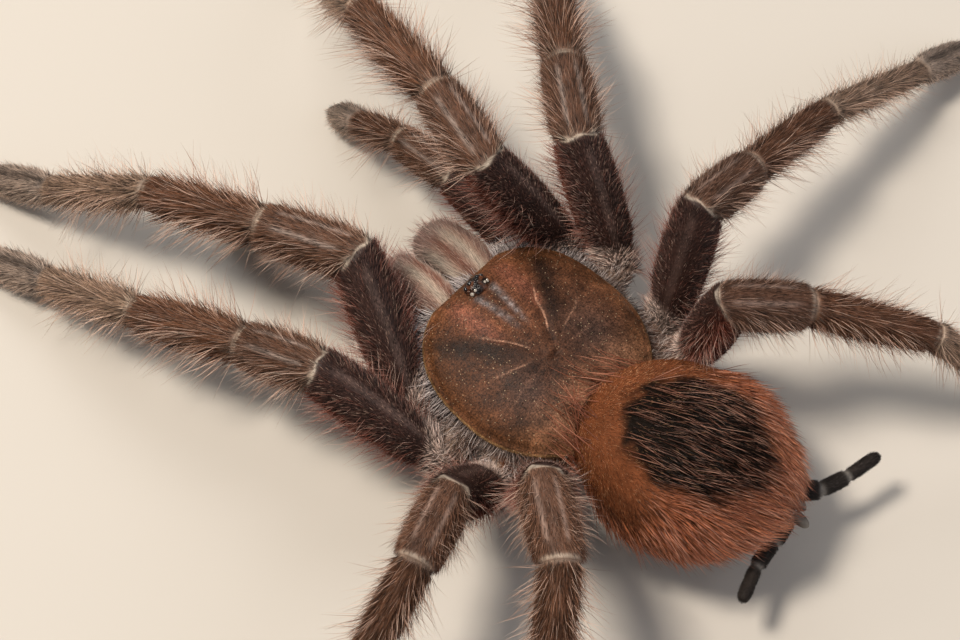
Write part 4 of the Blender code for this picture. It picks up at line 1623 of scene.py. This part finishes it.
STANCE = (
    Limb(Side.LEFT, Kind.PALP, (13.8, -17.4, 8.6), ((-101, 27), (-89, -20), (-81, -34)), -84),
    Limb(Side.RIGHT, Kind.PALP, (13.8, -17.5, 8.6), ((-91, 21), (-91, -6), (-90, -32)), -83),
    Limb(Side.LEFT, Kind.LEG_1, (19.4, -10.6, 9.9), ((-110, 38), (-69, -5), (-69, -10), (-69, -33)), -73),
    Limb(Side.RIGHT, Kind.LEG_1, (19.0, -12.5, 9.9), ((-119, 58), (-73, -6), (-81, -4), (-64, -44)), -54),
    Limb(Side.LEFT, Kind.LEG_2, (22.8, -1.8, 9.9), ((-71, 33), (-76, -19), (-69, -10), (-78, -25)), -75),
    Limb(Side.RIGHT, Kind.LEG_2, (22.3, -4.3, 9.9), ((-72, 54), (-52, -3), (-49, -16), (-49, -44)), -49),
    Limb(Side.LEFT, Kind.LEG_3, (20.6, 7.5, 9.9), ((13, 58), (22, 17), (11, -32), (11, -40)), 11),
    Limb(Side.RIGHT, Kind.LEG_3, (19.4, 8.4, 9.9), ((-18, 58), (-1, -17), (2, -13), (6, -27)), 5),
    Limb(Side.LEFT, Kind.LEG_4, (15.8, 15.6, 9.9), ((36, 70), (53, 16), (38, -32), (38, -48)), 38),
    Limb(Side.RIGHT, Kind.LEG_4, (18.4, 15.2, 9.9), ((88, 77), (34, -25), (55, -12), (55, -41)), 55),
)

COXA_WOOL = Layer(
    "wool", 14.0,
    Bristle("grey_wool", 0.5, root=0.55, tip=1.35, vary=0.5, pale="#efe2dc", pale_share=0.25),
    (Shape(0.055, 2, 0.25), Shape(0.045, 2, -0.1)), spread=0.45, uneven=0.4)
COXA_NAP = Layer(
    "nap", 11.0,
    Bristle("coxa_nap", 0.45, root=0.6, tip=1.6, vary=0.5, pale="#9c8274", pale_share=0.15),
    (Shape(0.08), Shape(0.1)), spread=0.22, uneven=0.3)
BREAST_NAP = Layer(
    "nap", 8.0,
    Bristle("breast_nap", 0.42, root=0.8, tip=1.5, vary=0.4, pale="#8a7468", pale_share=0.12),
    (Shape(0.09), Shape(0.07)), spread=0.22, uneven=0.3)
LIP_HAIR = Layer(
    "hair", 9.0,
    Bristle("red_mouth_hair", 0.42, root=0.7, tip=1.4, vary=0.4, pale="#b06a4c", pale_share=0.3),
    (Shape(0.05, 2, 0.15),), spread=0.3, uneven=0.3)


@dataclass(frozen=True)
class Trunk:
    """The coxae of both sides in grey wool, and the breastplate with the mouth's lip below, mm."""

    inner: float = 2.75  # radius of a coxa at its root
    outer: tuple[float, ...] = (2.3, 2.85, 2.85, 2.85, 2.85)  # and at each kind of limb
    half_width: float = 5.5  # of the breastplate
    half_length: float = 9.5
    middle: float = 0.5
    bottom: float = 5.7
    plate: Carapace = field(default_factory=Carapace)

    def coxa(self, limb: Limb) -> tuple[Skin, Array]:
        """Lay out one coxa's rings.

        Args:
            limb: The limb that it carries.

        Returns:
            The skin, and the coxa's direction.
        """
        start, hip = np.array(limb.sizes.root) * np.array([limb.side.value, 1.0, 1.0]), limb.joints[0][0]
        t, outer = np.linspace(0.0, 1.0, 26), self.outer[limb.kind.value]
        radii = np.interp(t, (0.0, 0.5, 0.8, 0.93, 1.0), (self.inner, 0.5 * (self.inner + outer) + 0.15,
                                                          outer + 0.15, outer - 0.1, outer - 0.45))
        way = unit(hip - start)
        return tube(f"coxa_{limb.name}", start + t[:, None] * (hip + way * 0.5 - start), radii, 28), way

    def wool(self, skin: Skin, way: Array, seed: int) -> list[Object]:
        """Grow the coat of one coxa: grey wool above where it shows, dark nap below.

        Args:
            skin: The coxa's skin, already built.
            way: The coxa's direction.
            seed: Seed of its randomness.

        Returns:
            The coat's objects.
        """
        rings, tint = skin.rings, self.tint(skin.rings)
        above = ease(-0.1, 0.3, self.outward(rings)[..., 2])
        shown = above * ease(0.80, 0.9, self.plate.share_of(rings[..., 0], rings[..., 1]))
        below = (1.0 - above) * ease(3.5, 4.5, np.abs(rings[..., 0]))
        clumps = ease(-0.35, 0.3, ripple(rings, 1.5, seed))
        pale = blend("#a58a7c", "#f0e0da", ease(-0.3, 0.5, ripple(rings, 1.1, 3.0 + seed)))
        woolly = shown * (0.3 + 0.7 * clumps)
        return [COXA_WOOL.grow(skin, way + 0.2 * UP, 38.0, 2.1, woolly, mix(tint, pale, 0.8), seed),
                COXA_NAP.grow(skin, way, 24.0, 1.5, np.maximum(below, 0.2 * shown), tint * 1.3, seed + 1)]

    def outward(self, rings: Array) -> Array:
        """Directions from the middle of each ring."""
        return unit(rings - rings.mean(1, keepdims=True))

    def tint(self, rings: Array) -> Array:
        """Colour a coxa grey-brown above with shiny brown patches, dark brown below.

        Args:
            rings: The coxa's points.

        Returns:
            Linear colour by ring and place.
        """
        above = ease(-0.15, 0.45, self.outward(rings)[..., 2])
        grey = blend("#86705f", "#6a4029", ease(-0.3, 0.3, ripple(rings, 2.2, 8.0)))
        return mottle(mix(linear("#4c3428"), grey, above), rings, 0.2, 1.1, 2.0)

    def breastplate(self) -> None:
        """Make the breastplate, oval and gently domed below, with its nap."""
        angle, turn = turns(64), np.linspace(0.03, 0.97, 40) * math.pi
        wide, level = np.sin(turn)[:, None] ** 0.55, np.cos(turn)
        x = self.half_width * wide * np.cos(angle)
        y = self.middle + self.half_length * wide * np.sin(angle) * (1.0 + 0.08 * np.cos(2 * angle))
        z = np.where(level < 0, self.bottom + 1.4 * (1 + level) ** 1.3, 9.2 + 3.6 * level)
        dents = 0.25 * bump(np.abs(x) - 3.6, 0.5) * (level < 0)[:, None] * bump(np.sin(3 * angle), 0.4)
        z = z[:, None] - dents
        skin = Skin("breastplate_skin", np.stack([x, y, z], -1))
        tint = blend("#3b2820", "#20150f", 0.5 + 0.5 * ripple(skin.rings, 2.2))
        place(skin.build(Cuticle("breastplate_cuticle"), tint), Slot.WOOL, "sternum")
        low = (level < 0.1)[:, None] * 1.0
        place(BREAST_NAP.grow(skin, -FORWARD, 20.0, 1.1, low, tint * 1.3, 61), Slot.WOOL)

    def lip(self) -> None:
        """Make the small lip in front of the breastplate, with red hair on it."""
        ball = globe(np.linspace(0.04, 0.96, 18)[:, None] * math.pi, turns(28))
        skin = Skin("lip_skin", np.array([0.0, -10.6, 7.9]) + ball * np.array([2.1, 1.7, 1.5]))
        place(skin.build(Cuticle("lip_cuticle"), linear("#3a2018")), Slot.WOOL)
        hair = LIP_HAIR.grow(skin, FORWARD - 0.3 * UP, 40.0, 1.5, (ball[..., 2] < 0.2) * 1.0,
                             linear("#8c4630"), 67)
        place(hair, Slot.WOOL)

    def build(self) -> None:
        """Make the coxae of both sides, the breastplate and the lip."""
        self.breastplate()
        self.lip()
        finish = Cuticle("coxa_cuticle", roughness=0.42)
        for side in Side:
            skins, coats = [], []
            for limb in (item for item in STANCE if item.side is side):
                skin, way = self.coxa(limb)
                skins.append(skin.build(finish, self.tint(skin.rings)))
                coats += self.wool(skin, way, 200 + 10 * limb.kind.value + side.pick(0, 5))
            place(join(f"coxae_{side.word}_skin", skins), Slot.WOOL, f"coxae_{side.word}")
            for number, word in enumerate(("wool", "nap")):
                place(join(f"coxae_{side.word}_{word}", coats[number::2]), Slot.WOOL)


def join(name: str, parts: list[Object]) -> Object:
    """Join several objects into one.

    Args:
        name: The whole's name.
        parts: The objects, which all lie at the origin.

    Returns:
        The joined object.
    """
    with bpy.context.temp_override(active_object=parts[0], selected_editable_objects=parts):
        bpy.ops.object.join()
    parts[0].name = parts[0].data.name = name
    return parts[0]


# ---- abdomen


VELVET = Layer(
    "velvet", 15.0,
    Bristle("rust_velvet", 0.4, root=0.4, tip=1.8, vary=0.6, pale="#e3b083", pale_share=0.1, gloss=0.12),
    (Shape(0.13), Shape(0.1)), spread=0.28, uneven=0.3)
HAIR = Layer(
    "hair", 5.8,
    Bristle("russet_hair", 0.4, root=0.22, tip=1.8, vary=0.75, pale="#d6a58e", pale_share=0.2, gloss=0.2),
    (Shape(0.045, 2, 0.16), Shape(0.038, 2, 0.1), Shape(0.05, 2, 0.2)), spread=0.13, uneven=0.3)
STRANDS = Layer(
    "strands", 1.35,
    Bristle("red_strand", 0.32, root=0.5, tip=1.35, vary=0.45, pale="#d3a48c", pale_share=0.25),
    (Shape(0.026, 4, 0.12), Shape(0.022, 4, 0.22), Shape(0.026, 4, 0.02)), spread=0.2, uneven=0.35)
MANE = Layer(
    "mane", 0.45,
    Bristle("mane_bristle", 0.34, root=0.6, tip=1.4, vary=0.4, pale="#c98f74", pale_share=0.3),
    (Shape(0.026, 4, 0.1), Shape(0.023, 4, -0.08)), spread=0.34, uneven=0.3)
GLINT = Layer(
    "glint", 3.6,
    Bristle("golden_glint", 0.3, root=1.0, tip=1.6, vary=0.4, pale="#fff2da", pale_share=0.4),
    (Shape(0.06),), spread=0.3, uneven=0.3)


@dataclass(frozen=True)
class Abdomen:
    """The egg-shaped abdomen, turned a little to the right, with its stalk and its black patch, mm."""

    centre: Point = (-1.6, 29.6, 18.4)
    half: Point = (15.2, 19.6, 12.8)
    turn: float = 18.0
    rear: float = 0.88  # how long the rear half is beside the front half
    depth: float = 1.15  # of the coat
    places: int = 110
    plate: Carapace = field(default_factory=Carapace)

    @property
    def back(self) -> Array:
        """Its level backward direction."""
        angle = math.radians(self.turn)
        return np.array([-math.sin(angle), math.cos(angle), 0.0])

    @cached_property
    def ball(self) -> Array:
        """Directions on a unit ball, ring by ring from the front to the back."""
        turn, angle = np.linspace(0.012, 0.988, 84)[:, None] * math.pi, turns(self.places)
        wide = np.sin(turn)
        return np.stack([wide * np.cos(angle), -np.cos(turn) + 0 * angle, wide * np.sin(angle)], -1)

    @property
    def xyz(self) -> Array:
        """The three coordinates of the ball's directions."""
        return np.moveaxis(self.ball, -1, 0)

    @cached_property
    def points(self) -> Array:
        """The skin's points, mm: the ball stretched, turned, roughened and kept clear of the plate."""
        x, y, z = self.xyz
        inner = 1.0 - self.depth / 14.0
        wide = self.half[0] * x * (1.05 - 0.10 * y - 0.05 * y * y) * inner
        tall = (self.half[2] * z * (1.0 - 0.05 * y) - np.where(z < 0, 0.9 * y * y, 0.0) * z) * inner
        stretch = np.where(y > 0.0, self.rear, 1.0)
        long = (self.half[1] * y * stretch - 1.2 * z * (1.0 - y) * 0.5) * (1.0 - self.depth / 19.0)
        angle = math.radians(self.turn)
        found = np.stack([wide * math.cos(angle) - long * math.sin(angle),
                          wide * math.sin(angle) + long * math.cos(angle), tall], -1) + np.array(self.centre)
        return self.clear_of_plate(found + self.ball * (0.12 * ripple(found, 3.4, 1.0))[..., None])

    def clear_of_plate(self, points: Array) -> Array:
        """Rest the front on the carapace's back edge instead of letting it pass through.

        Args:
            points: The abdomen's points.

        Returns:
            The points, moved up or down where they were inside the plate.
        """
        x, y, z = points[..., 0], points[..., 1], points[..., 2]
        share = self.plate.share_of(x, y)
        top = self.plate.height(x, y, np.minimum(share, 1.0)) + 0.25
        low = self.plate.underside - 0.6
        inside = (share < 1.01) & (z > low) & (z < top)
        moved = np.where(z > 0.5 * (low + top), top, low)
        return np.concatenate([points[..., :2], np.where(inside, moved, z)[..., None]], -1)

    @cached_property
    def patch(self) -> Array:
        """Strength of the black patch on the back, from 0 to 1."""
        x, y, z = self.xyz
        ragged = 0.09 * ripple(self.ball * 10.0, 1.3, 4.0) + 0.05 * ripple(self.ball * 10.0, 0.5, 1.0)
        out = np.hypot((x - 0.01) / 0.7, (y - 0.10) / 0.69) + ragged
        return (1.0 - ease(0.86, 1.02, out)) * (z > 0)

    @cached_property
    def shagginess(self) -> Array:
        """How long the hair is, from 0 on the velvety front to 1 on the flanks and the rear."""
        _, y, z = self.xyz
        rear = ease(-0.42, 0.25, y + 0.25 * np.maximum(-z, 0.0))
        flank = ease(0.35, -0.25, z) * ease(-0.95, -0.6, y)
        return np.clip(np.maximum(rear, 0.8 * flank), 0.0, 1.0)

    @cached_property
    def tint(self) -> Array:
        """Colour: rust in front, red-brown at the sides and the rear, dark below, with the black patch."""
        x, y, z = self.xyz
        lungs = bump(np.abs(x) - 0.42, 0.14) * bump(y + 0.42, 0.16) * (z < -0.4)
        found = paint(blend("#8a5132", "#c47a56", ease(-0.4, 0.5, y)),
                      ("#8c5039", 0.6 * ease(0.2, -0.35, z)),
                      ("#3d261c", 0.8 * ease(-0.35, -0.75, z)),
                      ("#8d6a4c", 0.7 * lungs),
                      ("#110c06", 0.985 * self.patch),
                      # A painted shadow darkens the front edge where it meets the carapace.
                      ("#2e1a12", 0.85 * ease(-0.84, -0.95, y + 0.12 * z)))
        return mottle(found, self.points, 0.16, 2.0, 2.0)

    @cached_property
    def lie(self) -> Array:
        """Lie of the coat: back and down the flanks, drawing together at the spinnerets."""
        _, y, z = self.xyz
        tail = np.array(self.centre) + (21.0 * self.back - 3.0 * UP)
        found = mix(self.back, unit(tail - self.points), ease(-0.6, 0.5, y))
        droop = ease(0.9, 0.1, z) * (1.0 - ease(0.3, 0.9, y))
        waver = 0.26 * ripple(self.points, 2.4, 6.0)[..., None] * unit(np.cross(self.ball, self.back))
        return found - 0.45 * droop[..., None] * UP + waver

    def build(self) -> None:
        """Make the skin and the stalk and grow the five layers of the coat."""
        x, y, z = self.xyz
        skin, comb, tint = Skin("abdomen_skin", self.points), self.lie, self.tint
        cuticle = Cuticle("abdomen_cuticle", roughness=0.6, gloss=0.08)
        # The skin is darker than its coat: painted shade between the bristles.
        place(skin.build(cuticle, tint * 0.7), Slot.ABDOMEN, "abdomen")
        black, shaggy, low = self.patch, self.shagginess, ease(-0.3, -0.8, z)
        edge = ease(0.62, 0.85, np.abs(x) + 0.5 * ease(0.5, 0.95, y))
        close = np.maximum(np.maximum(1.0 - ease(0.25, 0.8, shaggy), 0.5 * black), 0.45)
        rosy = mottle(blend("#b26a47", "#c98a68", ease(0.1, 0.7, y)), self.points, 0.35, 0.9, 5.0)
        lift = mix(mix(13.0, 17.0, shaggy), 22.0, black) + 20.0 * edge * shaggy
        reach = mix(2.8, 3.9, shaggy) - 1.1 * low + 0.8 * edge * shaggy * (1 - low)
        crowd = np.clip(ease(0.15, 0.7, shaggy) - 0.45 * low, 0, 1) * (1 - 0.45 * black)
        over = np.clip(0.75 * black + ease(0.35, 0.9, shaggy) * (1 - low), 0, 1)
        collar = ease(-0.55, -0.82, y) * (z > -0.5) * (z < 0.62)
        front, bright = 0.35 * UP - self.back, ease(-0.3, -0.65, y) * (1 - black)
        for coat in (
                VELVET.grow(skin, comb, 30.0, mix(0.75, 1.2, shaggy), close, tint, 71),
                HAIR.grow(skin, comb, lift, reach, crowd, mix(tint, rosy, 0.5 * (1 - black)), 73),
                STRANDS.grow(skin, comb, mix(26.0, 12.0, black) + 12.0 * edge * shaggy, 5.2, over,
                             blend("#a0624a", "#7e5140", black), 79),
                MANE.grow(skin, front, 34.0, 7.0, collar, linear("#94573f"), 83),
                GLINT.grow(skin, comb, 22.0, 0.5, bright, linear("#cf9560"), 89)):
            place(coat, Slot.ABDOMEN)
        self.stalk()

    def stalk(self) -> None:
        """Make the stalk that joins the abdomen to the trunk."""
        start, end = np.array([0.6, 9.0, 9.4]), np.array([2.4, 17.5, 12.0])
        t = np.linspace(0.0, 1.0, 12)
        skin = tube("stalk_skin", start + t[:, None] * (end - start), 2.2 - 0.35 * np.sin(np.pi * t), 28)
        tint = blend("#4a3226", "#2a1c16", 0.5 + 0.5 * ripple(skin.rings, 1.4))
        place(skin.build(LEG_SKIN, tint), Slot.ABDOMEN)


SPINNERET_SKIN = Cuticle("spinneret_cuticle", roughness=0.7)
SPINNERET_VELVET = Layer(
    "velvet", 30.0,
    Bristle("spinneret_velvet", 0.5, root=0.9, tip=1.4, vary=0.35, pale="#6d645e", pale_share=0.12),
    (Shape(0.16), Shape(0.2)), spread=0.25, uneven=0.3)


@dataclass(frozen=True)
class Spinneret:
    """One of the two long three-part spinnerets, with the small one beside it, mm."""

    side: Side
    bases: tuple[Point, Point] = ((-6.7, 46.2, 12.3), (-11.2, 44.0, 12.3))  # left and right
    lengths: tuple[float, ...] = (4.2, 5.0, 6.8)
    headings: tuple[tuple[float, ...], ...] = ((12.0, 9.0, 20.0), (40.0, 18.0, 11.0))  # left and right
    pitches: tuple[float, ...] = (-6.0, -3.0, 2.0)
    radii: tuple[float, ...] = (1.75, 1.45, 1.25)
    coat: float = 0.28
    places: int = 28

    def rings(self) -> tuple[Array, Array, Array]:
        """Lay out the rings from the base to the tip.

        Returns:
            Points, directions by ring, and closeness to a joint by ring.
        """
        start, rings, ways, near = np.array(self.side.pick(*self.bases)), [], [], []
        for part, (length, heading, pitch, radius) in enumerate(
                zip(self.lengths, self.side.pick(*self.headings), self.pitches, self.radii)):
            way = way_of(self.side, heading, pitch)
            around = ring_about(turns(self.places, 0.5), *cross_axes(way))
            for share in np.linspace(0.03, 0.97 if part < 2 else 0.93, 22):
                edge = min(share, 1.0 - share) * length
                full = (radius - self.coat) * (1.0 - 0.2 * math.exp(-(edge / 0.4) ** 2))
                if part == 2:
                    full *= math.sqrt(max(0.05, 1.0 - max(0.0, (share - 0.72) / 0.25) ** 2))
                rings.append(start + way * (share * length) + full * around)
                ways.append(way)
                inner = (part < 2 or share < 0.5) * (part > 0 or share > 0.5)
                near.append(math.exp(-(edge / 0.45) ** 2) * inner)
            start = start + way * length
        return np.array(rings), np.array(ways), np.array(near)

    def build(self) -> None:
        """Make the spinneret's skin and its short black velvet, and the small spinneret."""
        rings, ways, near = self.rings()
        word, near = self.side.word, near[:, None]
        skin = Skin(f"spinneret_{word}_skin", rings)
        tint = paint(blend("#211b18", "#322924", 0.5 + 0.5 * ripple(rings, 1.2)), ("#8f8982", 0.85 * near))
        place(skin.build(SPINNERET_SKIN, tint), Slot.VELVET, f"spinneret_{word}")
        place(SPINNERET_VELVET.grow(skin, ways[:, None, :], 34.0, 0.48, 1.0 - 0.85 * near, tint,
                                    self.side.pick(91, 92)), Slot.VELVET)
        t = np.linspace(0.0, 1.0, 14)
        base = np.array(self.side.pick(*self.bases)) + np.array([-self.side.value * 1.3, 0.4, 0.4])
        line = base + t[:, None] * np.array([0.0, 3.0, -0.2])
        small = tube(f"small_spinneret_{word}", line, 1.0 * np.sqrt(1.02 - t ** 3), 20)
        tint = blend("#35302b", "#8d857c", 0.5 + 0.5 * ripple(small.rings, 0.7))
        place(small.build(SPINNERET_SKIN, tint), Slot.VELVET)


# ---- studio


@dataclass(frozen=True)
class Light:
    """A soft square light."""

    name: str
    way: Point  # how far it stands along the camera's backward, right and up directions
    size: float  # of its side, mm
    power: float  # W
    colour: str
    distance: float = 900.0  # from the animal, mm


@dataclass(frozen=True)
class Studio:
    """The plain pale floor, the soft lights and the camera."""

    azimuth: float = 133.8
    elevation: float = 63.5
    lens: float = 100.0
    distance: float = 434.0
    target: Point = (2.4, -12.2, 15.0)
    floor_half: float = 3000.0
    lights: tuple[Light, ...] = (
        Light("key", (1.0, -0.45, 0.5), 190.0, 7.7, "#fff5e8"),
        Light("fill", (1.0, 1.2, 0.1), 700.0, 1.7, "#f6f6ff"),
        Light("rim", (0.3, -0.2, 1.0), 500.0, 2.0, "#ffffff"),
    )

    @property
    def axes(self) -> tuple[Array, Array, Array]:
        """The camera's backward, right and up directions."""
        a, e = math.radians(self.azimuth), math.radians(self.elevation)
        back = np.array([math.sin(a) * math.cos(e), -math.cos(a) * math.cos(e), math.sin(e)])
        right = np.array([math.cos(a), math.sin(a), 0.0])
        return back, right, np.cross(back, right)

    def aim(self, name: str, data: ID, way: Array, distance: float) -> Object:
        """Stand a camera or a light so that it faces the animal.

        Args:
            name: Its name.
            data: Its data.
            way: Direction from the animal to it.
            distance: How far away it is, mm.

        Returns:
            The object.
        """
        made = link(name, data)
        made.location = ((np.array(self.target) + SHIFT + way * distance) * MM).tolist()
        made.rotation_mode = "QUATERNION"
        made.rotation_quaternion = (-Vector(way.tolist())).to_track_quat("-Z", "Y")
        return made

    def camera(self) -> None:
        """Make the camera."""
        data = bpy.data.cameras.new("camera")
        data.lens, data.sensor_width = self.lens, 36.0
        data.clip_start, data.clip_end = 0.01, 20.0
        bpy.context.scene.camera = self.aim("camera", data, self.axes[0], self.distance)

    def light(self, lamp: Light) -> None:
        """Make one light.

        Args:
            lamp: What it is like.
        """
        data = bpy.data.lights.new(lamp.name, "AREA")
        data.shape, data.size, data.energy = "SQUARE", lamp.size * MM, lamp.power
        data.color = linear(lamp.colour).tolist()
        back, right, up = (share * axis for share, axis in zip(lamp.way, self.axes))
        self.aim(lamp.name, data, unit(back + right + up), lamp.distance)

    def floor(self) -> None:
        """Make the plain pale floor."""
        mesh = bpy.data.meshes.new("floor")
        r = self.floor_half * MM
        mesh.from_pydata([(-r, -r, 0.0), (r, -r, 0.0), (r, r, 0.0), (-r, r, 0.0)], [], [(0, 1, 2, 3)])
        made = bpy.data.materials.new("pale_floor")
        made.use_nodes = True
        shader = made.node_tree.nodes["Principled BSDF"]
        shader.inputs["Base Color"].default_value = (*linear("#d3ccc2"), 1.0)
        shader.inputs["Roughness"].default_value = 0.9
        mesh.materials.append(made)
        link("floor", mesh)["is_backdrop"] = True

    def build(self) -> None:
        """Make the floor, the lights and the camera."""
        scene = bpy.context.scene
        scene.view_settings.view_transform = "Standard"
        self.floor()
        for lamp in self.lights:
            self.light(lamp)
        scene.world = bpy.data.worlds.new("studio")
        scene.world.use_nodes = True
        colour, strength = scene.world.node_tree.nodes["Background"].inputs[:2]
        colour.default_value, strength.default_value = (0.96, 0.97, 1.0, 1.0), 0.2
        self.camera()


# ---- the whole


def main() -> None:
    """Build every piece in order."""
    logging.basicConfig(level=logging.INFO, format="%(message)s")
    Studio().build()
    Carapace().build()
    EyeGroup().build()
    Trunk().build()
    for side in Side:
        Chelicera(side).build()
        Spinneret(side).build()
    Abdomen().build()
    for limb in STANCE:
        limb.build()
    TOOLS.clear()
    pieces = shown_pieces()
    LOG.info("%d pieces, %d triangles", len(pieces), sum(triangles(item.data) for item in pieces))


SHIFT = row_shift()
TOOLS = Tools()

if __name__ == "__main__":
    main()
